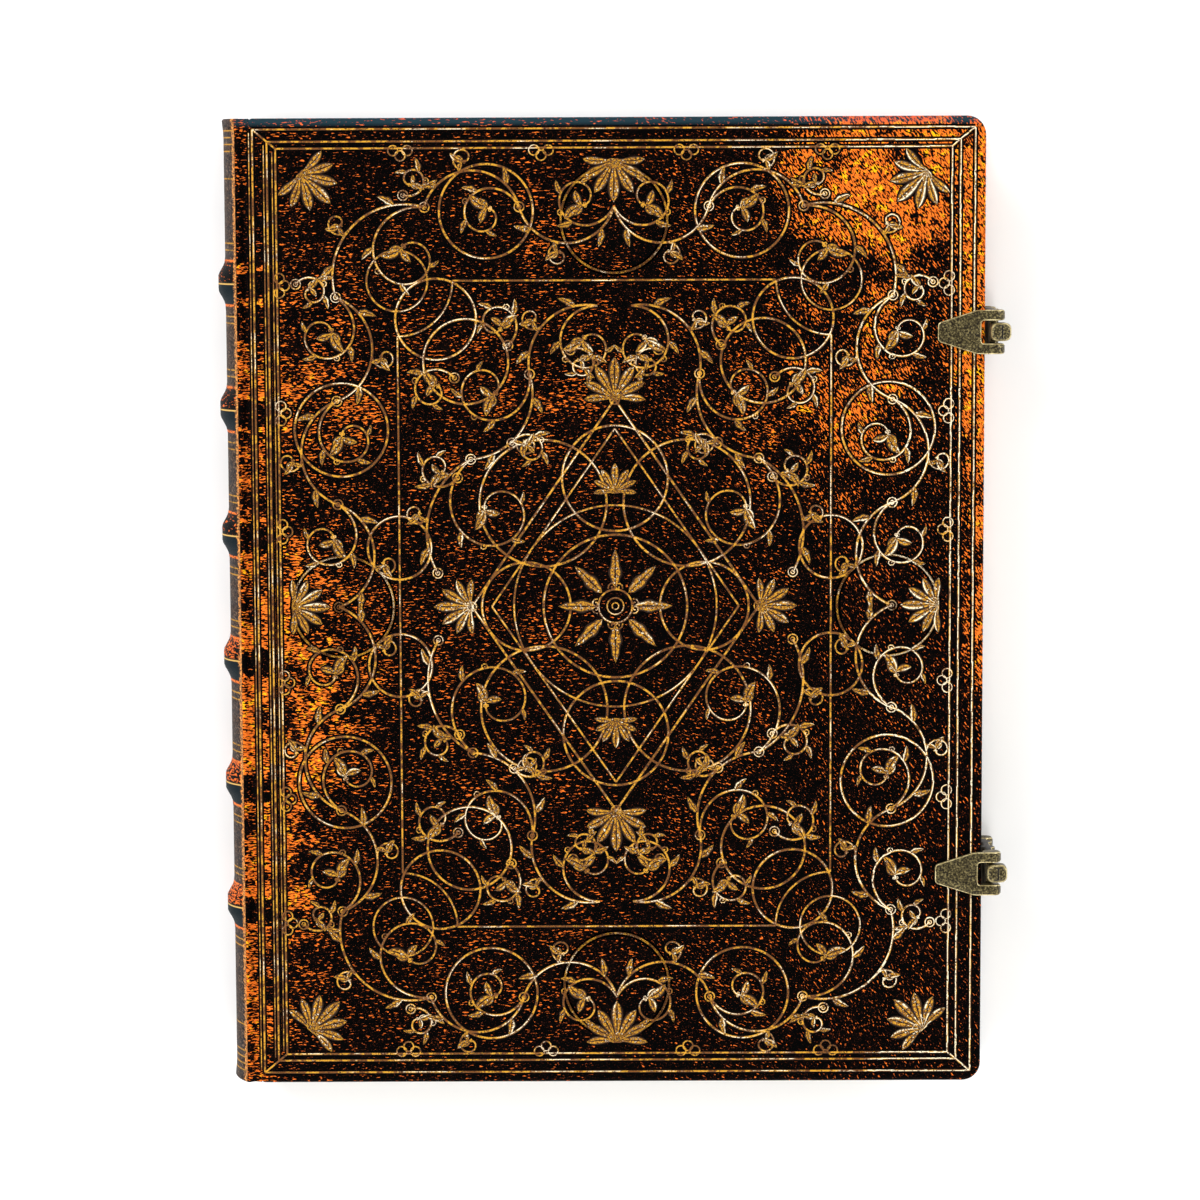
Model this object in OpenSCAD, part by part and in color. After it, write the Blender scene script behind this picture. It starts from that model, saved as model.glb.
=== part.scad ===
// Hardcover journal with a rounded spine, raised bands and two fore-edge clasps.
// It lies on its back cover: +Z is up through the front cover, +Y points to the
// head, and +X points from the spine to the fore-edge.

/* [Covers] */
// Height of the covers, head to tail
cover_h = 230; // [200:1:260]
// Width of a cover, from the spine's shoulder to the fore-edge
cover_w = 176; // [150:1:200]
// Thickness of the greyboard in each cover
board_t = 2.2; // [2:0.1:3]
// Thickness of the leather-look covering
skin_t = 0.5; // [0.3:0.05:0.6]
// Corner radius of the covers at the fore-edge
corner_r = 4.4; // [3:0.1:8]
// Rounding of the covers' edges
edge_r = 1; // [0.7:0.1:1.4]
// Width of the covering turned in over the inner face
turn_in = 14; // [12:1:18]
// Thickness of the pastedown inside each cover
pastedown_t = 0.2; // [0.1:0.05:0.4]

/* [Joints] */
// Distance from the spine's shoulder to the edge of a cover
joint_w = 3.3; // [3:0.1:5]
// Depth of the joint groove below the cover's face
groove_d = 1.5; // [1.2:0.1:1.8]
// Depth of the spine's shoulder below the cover's face
shoulder_drop = 0.9; // [0.9:0.1:1.4]
// Slit between the two halves of a joint at the hinge axis
fold_gap = 0.2; // [0.1:0.05:0.4]

/* [Text block] */
// Thickness of the sewn pages
block_t = 14.6; // [10:0.2:24]
// Overhang of the covers beyond the pages
square_w = 3.3; // [2:0.1:5]
// Thickness of a flyleaf
flyleaf_t = 0.2; // [0.1:0.05:0.4]
// Air between a flyleaf and the closed cover
leaf_gap = 0.1; // [0.05:0.05:0.3]
// Radius of the headband's bead
bead_r = 0.8; // [0.6:0.1:1]
// Height of the headband's cloth on the spine
headband_tail = 9; // [6:1:14]

/* [Spine] */
// Bulge of the rounded spine beyond its shoulders
spine_bulge = 3.4; // [2.6:0.1:5]
// Thickness of the card in the spine
inlay_t = 0.8; // [0.5:0.1:1.2]
// Thickness of the cloth lining on the pages' spine
lining_t = 0.3; // [0.2:0.05:0.5]
// Air in the hollow back
hollow_gap = 0.4; // [0.2:0.1:0.8]
// Height of a raised band over the spine
band_rise = 2; // [1.2:0.1:2.4]
// Width of a raised band at its foot
band_w = 11; // [8:0.5:13]
// Distance between raised bands
band_pitch = 29.8; // [26:0.1:32]
// Distance from the head to the first raised band
first_band = 38.5; // [34:0.5:46]

/* [Clasps] */
// Distance between the two clasps
clasp_pitch = 129; // [100:1:150]
// Overall width of a clasp
clasp_w = 10.4; // [9:0.1:14]
// Thickness of a clasp plate
plate_t = 1.2; // [0.9:0.1:1.6]
// Length of a clasp plate on the cover
plate_len = 11.2; // [10:0.1:16]
// Width of a plate's narrow end
plate_nose = 4.4; // [3.6:0.1:6]
// Distance from the cover's edge to where a plate is full width
plate_shoulder = 1.9; // [1:0.1:3]
// Width of the slot between a plate's two prongs
slot_w = 5.4; // [5:0.1:6.4]
// Depth of the slot behind the cover's edge
slot_back = 1; // [0.5:0.1:2]
// Radius of a knuckle at a prong's end
knuckle_r = 2.2; // [2:0.05:2.4]
// Gap between a knuckle and the cover's edge
knuckle_gap = 0.3; // [0.2:0.05:0.6]
// Radius of the hinge pin
pin_r = 0.8; // [0.6:0.05:1]
// Running clearance of the arm on its pin
pin_play = 0.05; // [0.03:0.01:0.1]
// Side clearance of the arm between the prongs
arm_play = 0.25; // [0.2:0.05:0.4]
// Clearance between the arm's strap and the knuckles
strap_gap = 0.4; // [0.3:0.05:0.8]
// Thickness of the arm between its beads
arm_t = 1.6; // [1.2:0.1:2]
// Set of the arm's strap towards the pages, so that it leans shut
arm_set = 0.4; // [0.2:0.05:0.5]
// Radius of the arm's cross beads
bead_arm_r = 1.75; // [1.3:0.05:1.9]
// Distance between the arm's two cross beads
bead_pitch = 7; // [5:0.1:8]
// Radius of the rolled finger lip
lip_r = 1.4; // [1:0.05:1.6]
// Reach of the finger lip beyond the cover's edge
lip_reach = 6.1; // [5.6:0.1:7]
// Rise of the finger lip over the plates
lip_rise = 0.4; // [0.2:0.05:0.8]
// Distance from the cover's edge to the back of the knob
knob_back = 1.2; // [1:0.1:2]
// Radius of the arm's detents
detent_r = 0.35; // [0.3:0.05:0.5]
// Radius of a plate's fixing posts
post_r = 0.8; // [0.6:0.05:1]
// Clearance of a post in its hole
post_play = 0.05; // [0.03:0.01:0.1]
// Distance from the cover's edge to the outer fixing post
post_inset = 3.6; // [3:0.1:4.5]
// Distance between a plate's two fixing posts
post_pitch = 4.6; // [4:0.1:6]
// Rounding of a plate's corners
plate_corner = 0.8; // [0.4:0.1:1.1]

/* [Tooling] */
// Thickness of the gold foil
foil_t = 0.1; // [0.05:0.01:0.15]
// Width of a tooled line
line_w = 0.55; // [0.5:0.05:1]
// Width of a vine's line
vine_w = 0.65; // [0.5:0.05:1]
// Gap between the foil and a clasp plate
foil_gap = 0.15; // [0.1:0.05:0.5]
// Inset of the outer frame line from the cover's edges
frame_inset = 2.3; // [2:0.1:4]
// Distance from the outer to the middle frame line, at the sides
frame_step = 3.4; // [2.5:0.1:5]
// Distance from the middle to the inner frame line, at the sides
frame_pair = 2; // [1.4:0.1:3]
// Distance from the outer to the middle frame line, at head and tail
frame_end_step = 2.9; // [2:0.1:5]
// Distance from the middle to the inner frame line, at head and tail
frame_end_pair = 1.6; // [1.4:0.1:3]
// Inset of the outer frame line from the joint edge
frame_spine_inset = 0.7; // [0.5:0.1:2]
// Radius that the centrepiece is drawn to
centre_r = 10; // [8:0.5:11]
// Distance from the inner frame line to the middle of the outer vine
vine_inset = 14; // [12:0.5:16]
// Height of the vine's waves
vine_rise = 8.5; // [6:0.5:10]
// Length of the vine's leaves
leaf_long = 6; // [4:0.5:8]
// Half of the panel line's width and height
panel_u = 51; // [48:0.5:54]
panel_v = 77; // [74:0.5:80]
// Radius of the panel line's hollow corners
panel_r = 13; // [10:0.5:16]

/* [Hidden] */
$fn = 48;
band_count = 6;

// Levels through the closed book
cover_t = board_t + 2 * skin_t;
book_t = block_t + 2 * (cover_t + pastedown_t + leaf_gap + flyleaf_t);
back_z = plate_t;
front_z = back_z + book_t;
mid_z = back_z + book_t / 2;

// Rounded spine: one arc through both shoulders, and a fuller one for the bands
half_chord = book_t / 2 - shoulder_drop;
function arc_radius(chord, rise) = (chord * chord + rise * rise) / (2 * rise);
spine_r = arc_radius(half_chord, spine_bulge);
spine_x = spine_r - spine_bulge;
band_bulge = spine_bulge + band_rise;
band_r = arc_radius(half_chord, band_bulge);
band_x = band_r - band_bulge;
inlay_r = spine_r - skin_t - inlay_t;
lining_r = inlay_r - skin_t - hollow_gap;
block_r = lining_r - lining_t;

// Text block
block_h = cover_h - 2 * square_w;
block_shoulder = spine_x - sqrt(block_r * block_r - block_t * block_t / 4);
leaf_w = cover_w - square_w - block_shoulder;

// Hinge and clasp axes
hinge_x = joint_w / 2 + 0.25;
knuckle_x = cover_w + knuckle_gap + knuckle_r;
back_axis_z = back_z + knuckle_r - plate_t;
front_axis_z = front_z - knuckle_r + plate_t;
neck_w = slot_w - 2 * arm_play;

// Sideways centre of the whole journal, which puts the origin under its middle
centre_x = (cover_w + lip_reach - band_bulge) / 2;

leather = [0.09, 0.06, 0.045];
gold = [0.72, 0.55, 0.24];
brass = [0.46, 0.4, 0.25];
greyboard = [0.55, 0.52, 0.48];
cream = [0.93, 0.9, 0.82];
silk = [0.55, 0.2, 0.12];
gauze = [0.85, 0.84, 0.8];

// A cover is drawn with z = 0 at its outer face and z growing inwards.
module at_back() {
    translate([-centre_x, 0, back_z]) children();
}

module at_front() {
    translate([-centre_x, 0, front_z]) mirror([0, 0, 1]) children();
}

module at_book() {
    translate([-centre_x, 0, 0]) children();
}

// Outer half of a slab's section: depth d, thickness t, both corners rounded by r
function edge_section(d, t, r, steps = 4) = concat(
    [[0, 0]],
    [for (i = [0:steps]) let (a = 90 * i / steps) [d - r + r * sin(a), r - r * cos(a)]],
    [for (i = [0:steps]) let (a = 90 * i / steps) [d - r + r * cos(a), t - r + r * sin(a)]],
    [[0, t]]
);

module edge_strip(d, t, r, length) {
    rotate([90, 0, 0])
        linear_extrude(length, center = true)
            polygon(edge_section(d, t, r));
}

module edge_corner(d, t, r, from) {
    rotate([0, 0, from])
        rotate_extrude(angle = 90)
            polygon(edge_section(d, t, r));
}

// Flat board with soft edges: round corners at the fore-edge, tight ones at the joint
module slab(x0, x1, h, t, corner, r) {
    xa = x0 + r;
    xb = x1 - corner;
    y_fore = h / 2 - corner;
    y_joint = h / 2 - r;
    translate([xa, -y_fore, 0]) cube([xb - xa, 2 * y_fore, t]);
    translate([xb, 0, 0]) edge_strip(corner, t, r, 2 * y_fore);
    for (side = [-1, 1]) {
        translate([(xa + xb) / 2, side * y_fore, 0])
            rotate([0, 0, 90 * side]) edge_strip(corner, t, r, xb - xa);
        translate([xb, side * y_fore, 0]) edge_corner(corner, t, r, side > 0 ? 0 : -90);
        translate([xa, side * y_joint, 0]) edge_corner(r, t, r, side > 0 ? 90 : 180);
    }
    translate([xa, 0, 0]) rotate([0, 0, 180]) edge_strip(r, t, r, 2 * y_joint);
}

// The posts of the two plates run through the cover and are spread at its inner face
post_x = [cover_w - post_inset, cover_w - post_inset - post_pitch];
clasp_y = [clasp_pitch / 2, -clasp_pitch / 2];
post_flare = 0.8;

module post(y, play = 0) {
    for (x = post_x) translate([x, y, 0]) {
        cylinder(r = post_r + play, h = cover_t);
        translate([0, 0, cover_t - post_flare])
            cylinder(r1 = post_r + play, r2 = post_r + post_flare + play, h = post_flare);
    }
}

module post_holes() {
    for (y = clasp_y) post(y, post_play);
}

module board_slab() {
    translate([0, 0, skin_t])
        slab(joint_w + skin_t, cover_w - skin_t, cover_h - 2 * skin_t, board_t,
            corner_r - skin_t, edge_r - skin_t);
}

module board() {
    color(greyboard) difference() {
        board_slab();
        post_holes();
    }
}

// Half of the joint that is part of the cover, from the hinge axis up the board's edge
module cover_joint_half() {
    x0 = hinge_x + fold_gap / 2;
    x1 = joint_w + skin_t / 2;
    low = groove_d + skin_t;
    rotate([90, 0, 0])
        linear_extrude(cover_h, center = true)
            polygon([
                [x0, groove_d], [x0 + 0.4, groove_d - 0.05], [x0 + 0.9, groove_d - 0.25],
                [x1, groove_d - 0.6], [x1, low], [x0, low]
            ]);
}

module cover_skin() {
    window_y = cover_h / 2 - turn_in;
    color(leather) difference() {
        union() {
            slab(joint_w, cover_w, cover_h, cover_t, corner_r, edge_r);
            cover_joint_half();
        }
        board_slab();
        translate([0, -window_y, cover_t - skin_t - 0.01])
            cube([cover_w - turn_in, 2 * window_y, skin_t + 0.02]);
        post_holes();
    }
}

module pastedown() {
    x0 = joint_w + skin_t;
    window_y = cover_h / 2 - turn_in;
    color(cream) {
        translate([x0, -block_h / 2, cover_t])
            cube([cover_w - square_w - x0, block_h, pastedown_t]);
        translate([x0, -window_y, cover_t - skin_t])
            cube([cover_w - turn_in - x0, 2 * window_y, skin_t]);
    }
}

// Spine: solids of revolution about lines parallel to Y through the middle of the book
module along_spine(x) {
    translate([x, 0, mid_z]) rotate([90, 0, 0]) children();
}

module spine_barrel(r, h) {
    along_spine(spine_x) cylinder(r = r, h = h, center = true, $fn = 96);
}

// Part of the book's spine between the shoulders, left of x
module spine_side(x, half) {
    intersection() {
        children();
        translate([-band_bulge - 1, -cover_h, mid_z - half])
            cube([x + band_bulge + 1, 2 * cover_h, 2 * half]);
    }
}

// A band's section over the spine, r outwards and y along the spine
function band_section(offset, steps = 8) = concat(
    [[band_r - band_rise - 2, -band_w / 2]],
    [for (i = [0:steps]) let (y = band_w * (i / steps - 0.5))
        [band_r - band_rise - offset + band_rise * cos(180 * y / band_w), y]],
    [[band_r - band_rise - 2, band_w / 2]]
);

function band_y(i) = cover_h / 2 - first_band - i * band_pitch;

module band_ring(i, offset) {
    translate([0, band_y(i), 0])
        along_spine(band_x) rotate_extrude($fn = 96) polygon(band_section(offset));
}

module raised_band(i) {
    color(leather) spine_side(spine_x, half_chord - 1.2) difference() {
        band_ring(i, skin_t);
        spine_barrel(spine_r - skin_t, cover_h);
    }
}

module spine_inlay() {
    color(greyboard) spine_side(spine_x / 2, half_chord - 0.8) difference() {
        spine_barrel(inlay_r + inlay_t, cover_h - 2 * skin_t);
        spine_barrel(inlay_r, cover_h);
    }
}

// Half of the joint that is part of the spine, from the shoulder to the hinge axis
module spine_joint_half() {
    x1 = hinge_x - fold_gap / 2;
    ring_in = spine_x - sqrt(pow(spine_r - skin_t, 2) - half_chord * half_chord);
    s = shoulder_drop;
    rotate([90, 0, 0])
        linear_extrude(cover_h, center = true)
            polygon([
                [0, s + 0.02], [0.15, s - 0.14], [0.45, s - 0.18], [0.8, s - 0.05],
                [1.2, groove_d - 0.35], [x1 - 0.2, groove_d - 0.08], [x1, groove_d],
                [x1, groove_d + skin_t], [x1 - 0.35, groove_d + skin_t - 0.05],
                [1.05, groove_d + 0.15], [ring_in + 0.1, s + 0.4], [ring_in, s + 0.02]
            ]);
}

module spine_skin() {
    color(leather) {
        at_book() spine_side(spine_x, half_chord) difference() {
            union() {
                spine_barrel(spine_r, cover_h);
                for (i = [0:band_count - 1]) band_ring(i, 0);
            }
            spine_barrel(inlay_r - skin_t, cover_h + 2);
            spine_barrel(inlay_r + 0.001, cover_h - 2 * turn_in);
            difference() {
                union() {
                    spine_barrel(spine_r - skin_t, cover_h - 2 * skin_t);
                    for (i = [0:band_count - 1]) band_ring(i, skin_t);
                }
                spine_barrel(inlay_r, cover_h + 2);
            }
        }
        at_front() spine_joint_half();
        at_back() spine_joint_half();
    }
}

module block_section(w) {
    difference() {
        union() {
            intersection() {
                translate([spine_x, 0]) circle(r = block_r, $fn = 96);
                translate([-spine_x, -w / 2]) square([2 * spine_x + 1, w]);
            }
            translate([spine_x, -w / 2]) square([leaf_w, w]);
        }
        translate([spine_x + leaf_w, 0]) circle(r = block_r, $fn = 96);
    }
}

module text_block() {
    color(cream) translate([0, 0, mid_z]) rotate([90, 0, 0])
        linear_extrude(block_h, center = true) block_section(block_t);
}

module flyleaf(side) {
    z = side > 0 ? mid_z + block_t / 2 : mid_z - block_t / 2 - flyleaf_t;
    color(cream) translate([block_shoulder, -block_h / 2, z])
        cube([leaf_w, block_h, flyleaf_t]);
}

module spine_lining() {
    color(gauze) spine_side(spine_x, block_t / 2) difference() {
        spine_barrel(lining_r, block_h - 2 * headband_tail);
        spine_barrel(block_r, cover_h);
    }
}

bead_gap = 0.02;

// Worked bead over the pages' edge, with its cloth tail glued down the spine
module headband(side) {
    y = side * block_h / 2;
    color(silk) spine_side(spine_x, block_t / 2 - 0.4) translate([0, y, 0]) {
        translate([0, side * (bead_r + bead_gap), 0]) along_spine(spine_x)
            rotate_extrude($fn = 96)
                translate([lining_r - bead_r, 0]) circle(r = bead_r, $fn = 24);
        difference() {
            translate([0, side * (bead_r - headband_tail) / 2, 0])
                spine_barrel(lining_r, headband_tail + bead_r);
            translate([0, side * (bead_r - headband_tail) / 2, 0])
                spine_barrel(block_r, headband_tail + bead_r + 1);
        }
    }
}

// Clasp plates: the side view and the plan are cut from each other
module plate_side() {
    rotate([90, 0, 0]) linear_extrude(clasp_w, center = true) polygon(concat(
        [[cover_w - plate_len, -plate_t]],
        [for (a = [-90:15:180])
            [knuckle_x + knuckle_r * cos(a), knuckle_r - plate_t + knuckle_r * sin(a)]],
        [[knuckle_x - knuckle_r, 0], [cover_w - plate_len, 0]]
    ));
}

module plate_outline(grow = 0) {
    nose_x = cover_w - plate_len - grow;
    shoulder_x = cover_w - plate_shoulder;
    tip_x = knuckle_x + knuckle_r - 0.1 + grow;
    nose_y = plate_nose / 2 + grow;
    side_y = clasp_w / 2 + grow;
    polygon([
        [nose_x, -nose_y], [shoulder_x, -side_y], [tip_x, -side_y],
        [tip_x, side_y], [shoulder_x, side_y], [nose_x, nose_y]
    ]);
}

module plate_plan() {
    offset(r = plate_corner) offset(delta = -plate_corner) difference() {
        plate_outline();
        translate([cover_w - slot_back, -slot_w / 2])
            square([slot_back + lip_reach, slot_w]);
    }
}

module clasp_plate(y) {
    intersection() {
        translate([0, y, 0]) plate_side();
        translate([0, y, -plate_t - 1]) linear_extrude(3 * knuckle_r) plate_plan();
    }
    post(y);
}

module hinge_plate(y) {
    color(brass) difference() {
        clasp_plate(y);
        translate([knuckle_x, y, knuckle_r - plate_t]) rotate([90, 0, 0])
            cylinder(r = pin_r, h = clasp_w + 2, center = true);
    }
}

detent_play = 0.25;

// Blind dimples inside the prongs take the arm's two detents
module catch_plate(y) {
    color(brass) difference() {
        clasp_plate(y);
        for (side = [-1, 1])
            translate([knuckle_x, y + side * slot_w / 2, knuckle_r - plate_t])
                sphere(r = detent_r + detent_play);
    }
}

module hinge_pin(y) {
    color(brass) translate([knuckle_x, y, back_axis_z]) rotate([90, 0, 0])
        cylinder(r = pin_r, h = clasp_w, center = true);
}

// Arm: eye on the pin, beaded strap along the fore-edge, neck and rolled finger lip
arm_x = knuckle_x - arm_set;

module arm_strap() {
    low = back_axis_z + knuckle_r + strap_gap;
    high = front_axis_z - knuckle_r - strap_gap;
    mid = (low + high) / 2;
    translate([arm_x - arm_t / 2, -clasp_w / 2, low]) cube([arm_t, clasp_w, high - low]);
    for (side = [-1, 1])
        translate([arm_x, 0, mid + side * bead_pitch / 2]) rotate([90, 0, 0])
            cylinder(r = bead_arm_r, h = clasp_w, center = true);
}

lip_x = cover_w + lip_reach - lip_r;
lip_z = front_z + plate_t + lip_rise - lip_r;
knob_x0 = cover_w + knob_back;
knob_foot = front_axis_z - 1.4;

// The knob is a block and a rolled lip with a crease between, rounded in plan
module knob() {
    knob_w = cover_w + lip_reach - knob_x0;
    intersection() {
        union() {
            translate([knob_x0, -neck_w / 2, knob_foot])
                cube([knob_w / 2, neck_w, lip_z + 0.85 * lip_r - knob_foot]);
            translate([lip_x, 0, lip_z]) rotate([90, 0, 0])
                cylinder(r = lip_r, h = neck_w, center = true);
        }
        translate([knob_x0 + knob_w / 2, 0, front_axis_z - 2])
            cylinder(r = 0.6 * knob_w, h = 3 * knuckle_r);
    }
}

module arm_neck() {
    translate([arm_x - arm_t / 2, -neck_w / 2, back_axis_z + knuckle_r / 2])
        cube([arm_t, neck_w, knob_foot + 0.4 - back_axis_z - knuckle_r / 2]);
    knob();
    for (side = [-1, 1]) translate([knuckle_x, side * (neck_w / 2 - 0.15), front_axis_z])
        sphere(r = detent_r);
}

module clasp_arm(y) {
    color(brass) translate([0, y, 0]) difference() {
        union() {
            translate([knuckle_x, 0, back_axis_z]) rotate([90, 0, 0])
                cylinder(r = knuckle_r, h = neck_w, center = true);
            arm_strap();
            arm_neck();
        }
        translate([knuckle_x, 0, back_axis_z]) rotate([90, 0, 0])
            cylinder(r = pin_r + pin_play, h = clasp_w + 2, center = true);
    }
}

// Tooling: three plain frames around a field of scrollwork, drawn flat. One quarter is
// mirrored into the other three, and u and v run outwards from the middle of the field.
field_x0 = joint_w + frame_spine_inset + frame_step + frame_pair;
field_x1 = cover_w - frame_inset - frame_step - frame_pair;
field_x = (field_x0 + field_x1) / 2;
field_u = (field_x1 - field_x0) / 2;
field_v = cover_h / 2 - frame_inset - frame_end_step - frame_end_pair;
vine_u = field_u - vine_inset;
vine_v = field_v - vine_inset;
turn_r = 21;

// A vine is the row of points where it changes side. The outer one runs from the top's
// middle round the corner to the side's middle, and the inner one follows the lozenge.
outer_vine = [
    [0, vine_v], [(vine_u - turn_r) / 2, vine_v], [vine_u - turn_r, vine_v],
    [vine_u, vine_v - turn_r], [vine_u, (vine_v - turn_r) * 2 / 3],
    [vine_u, (vine_v - turn_r) / 3], [vine_u, 0]
];
outer_rise = [-vine_rise, vine_rise, 0.42 * turn_r, -vine_rise, vine_rise, -vine_rise];
lozenge_u = 3.4 * centre_r;
lozenge_v = 4.9 * centre_r;
inner_vine = [
    [4, lozenge_v + 22], [20, lozenge_v + 6], [34, lozenge_v - 14], [lozenge_u + 8, 8]
];
inner_rise = [0.7 * vine_rise, -0.7 * vine_rise, 0.7 * vine_rise];
coil_turn = 420;
coil_end = 0.2;

function polar(c, r, a) = [c[0] + r * cos(a), c[1] + r * sin(a)];

// The arc from p to q that rises to its left: centre, radius, starting angle and turn
function arc_of(p, q, rise) = let (
    half = norm(q - p) / 2,
    r = (half * half + rise * rise) / (2 * abs(rise)),
    out = [p[1] - q[1], q[0] - p[0]] / (2 * half),
    c = (p + q) / 2 + out * (rise - sign(rise) * r),
    a = atan2(p[1] - c[1], p[0] - c[0])
) [c[0], c[1], r, a, -sign(rise) * 2 * asin(min(1, half / r))];

// A coil leaves an arc at its start and winds inwards on the arc's hollow side
function coil_of(arc, share) = let (p = polar(arc, arc[2], arc[3]), c = [arc[0], arc[1]])
    let (m = p + (c - p) * share) [m[0], m[1], share * arc[2], arc[3], sign(arc[4]) * coil_turn];

function coil_point(s, k, end = 1) = polar(s, s[2] * pow(end, k), s[3] + s[4] * k);

// A line of varying width along a coil; with an end of 1 the coil is a plain arc
module coil(s, n, end, w0, w1) {
    function rim(k, side) = polar(s, s[2] * pow(end, k) + side * (w0 + (w1 - w0) * k) / 2,
        s[3] + s[4] * k);
    polygon(concat(
        [for (i = [0:n]) rim(i / n, 1)],
        [for (i = [n:-1:0]) rim(i / n, -1)]
    ));
}

module leaf(p, a, long, wide) {
    n = 3;
    translate(p) rotate(a) polygon(concat(
        [for (i = [0:n]) [long * i / n, wide / 2 * sin(180 * pow(i / n, 0.7))]],
        [for (i = [n - 1:-1:1]) [long * i / n, -wide / 2 * sin(180 * pow(i / n, 0.7))]]
    ));
}

module fan(p, a, long) {
    for (i = [-1:1]) leaf(p, a + 48 * i, long * (1 - 0.15 * abs(i)), 0.34 * long);
}

module vine(points, rises, share) {
    for (i = [0:len(rises) - 1]) let (
        arc = arc_of(points[i], points[i + 1], rises[i]),
        curl = coil_of(arc, share),
        side = sign(arc[4])
    ) {
        coil(arc, 6, 1, vine_w, vine_w);
        coil(curl, 10, coil_end, vine_w, 0.8 * vine_w);
        leaf(coil_point(curl, 1, coil_end), curl[3] + side * 60, leaf_long * 0.7, leaf_long * 0.4);
    }
}

function round_points(r, n) = [for (i = [0:n - 1]) polar([0, 0], r, 360 * i / n)];

module ring(r, w, n = 28) {
    difference() {
        polygon(round_points(r + w / 2, n));
        polygon(round_points(r - w / 2, n));
    }
}

module bar(p, q, w) {
    d = (q - p) / norm(q - p) * w / 2;
    polygon([p + [-d[1], d[0]], q + [-d[1], d[0]], q - [-d[1], d[0]], p - [-d[1], d[0]]]);
}

module lozenge(u, v, w) {
    slope = w * norm([u, v]) / v;
    difference() {
        polygon([[u, 0], [0, v], [-u, 0], [0, -v]]);
        polygon([[u - slope, 0], [0, v - slope * v / u],
            [slope - u, 0], [0, slope * v / u - v]]);
    }
}

module lozenges() {
    ring(0.4 * centre_r, line_w, 16);
    for (i = [0:7]) rotate(45 * i)
        leaf([0.45 * centre_r, 0], 0, 0.9 * centre_r, 0.32 * centre_r);
    lozenge(lozenge_u, lozenge_v, vine_w);
    lozenge(0.86 * lozenge_u, 0.86 * lozenge_v, line_w);
}

module centrepiece() {
    lozenges();
    ring(1.7 * centre_r, vine_w);
    ring(2.4 * centre_r, line_w, 40);
    for (side = [-1, 1]) {
        translate([0, side * 0.62 * lozenge_v]) ring(1.25 * centre_r, vine_w);
        translate([side * 0.62 * lozenge_u, 0]) ring(1.05 * centre_r, vine_w);
        fan([0, side * lozenge_v], side * 90, centre_r);
        fan([side * lozenge_u, 0], side > 0 ? 0 : 180, 0.9 * centre_r);
        fan([0, side * (field_v - 3)], -side * 90, centre_r);
        fan([side * (field_u - 3), 0], side > 0 ? 180 : 0, 0.9 * centre_r);
    }
}

// Panel line between the two vines, with a hollow corner and a ring in it
module panel_quarter() {
    bar([0, panel_v], [panel_u - panel_r, panel_v], line_w);
    bar([panel_u, 0], [panel_u, panel_v - panel_r], line_w);
    coil([panel_u, panel_v, panel_r, 180, 90], 5, 1, line_w, line_w);
    translate([panel_u, panel_v]) ring(0.55 * panel_r, line_w, 16);
}

module quarter() {
    vine(outer_vine, outer_rise, 0.72);
    vine(inner_vine, inner_rise, 0.7);
    fan([field_u - 6, field_v - 6], 225, centre_r);
    panel_quarter();
}

module box_line(x0, x1, half) {
    difference() {
        translate([x0, -half]) square([x1 - x0, 2 * half]);
        translate([x0 + line_w, line_w - half])
            square([x1 - x0 - 2 * line_w, 2 * (half - line_w)]);
    }
}

// Three lines round the cover, mitred at the corners
module frames() {
    side_steps = [0, frame_step, frame_step + frame_pair];
    end_steps = [0, frame_end_step, frame_end_step + frame_end_pair];
    x0 = joint_w + frame_spine_inset;
    x1 = cover_w - frame_inset;
    half = cover_h / 2 - frame_inset;
    for (i = [0:2])
        box_line(x0 + side_steps[i], x1 - side_steps[i], half - end_steps[i]);
    mitre = [side_steps[2], -end_steps[2]];
    for (end = [0, 1]) mirror([0, end]) {
        head_left = [x0 + line_w / 2, half - line_w / 2];
        head_right = [x1 - line_w / 2, half - line_w / 2];
        bar(head_left, head_left + mitre, line_w);
        bar(head_right, head_right + [-mitre[0], mitre[1]], line_w);
    }
}

// The front has the whole drawing, the back its frames and lozenges
module tooling(whole) {
    color(gold) translate([0, 0, -foil_t]) linear_extrude(foil_t) difference() {
        union() {
            frames();
            translate([field_x, 0]) {
                if (whole) {
                    centrepiece();
                    for (side = [0, 1], end = [0, 1])
                        mirror([side, 0]) mirror([0, end]) quarter();
                } else {
                    lozenges();
                }
            }
        }
        for (y = clasp_y) translate([0, y]) plate_outline(foil_gap);
    }
}

at_back() board();  // back_board
at_back() cover_skin();  // back_cover_skin
at_back() pastedown();  // back_pastedown
at_back() tooling(false);  // back_tooling
at_back() hinge_plate(clasp_y[0]);  // upper_hinge_plate
at_back() hinge_plate(clasp_y[1]);  // lower_hinge_plate
at_book() hinge_pin(clasp_y[0]);  // upper_hinge_pin
at_book() hinge_pin(clasp_y[1]);  // lower_hinge_pin
at_book() text_block();
at_book() flyleaf(1);  // front_flyleaf
at_book() flyleaf(-1);  // back_flyleaf
at_book() spine_lining();
at_book() headband(1);  // head_band
at_book() headband(-1);  // tail_band
at_book() spine_inlay();
spine_skin();
at_book() raised_band(0);  // raised_band_1
at_book() raised_band(1);  // raised_band_2
at_book() raised_band(2);  // raised_band_3
at_book() raised_band(3);  // raised_band_4
at_book() raised_band(4);  // raised_band_5
at_book() raised_band(5);  // raised_band_6
at_front() board();  // front_board
at_front() cover_skin();  // front_cover_skin
at_front() pastedown();  // front_pastedown
at_front() tooling(true);  // front_tooling
at_front() catch_plate(clasp_y[0]);  // upper_catch_plate
at_front() catch_plate(clasp_y[1]);  // lower_catch_plate
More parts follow.
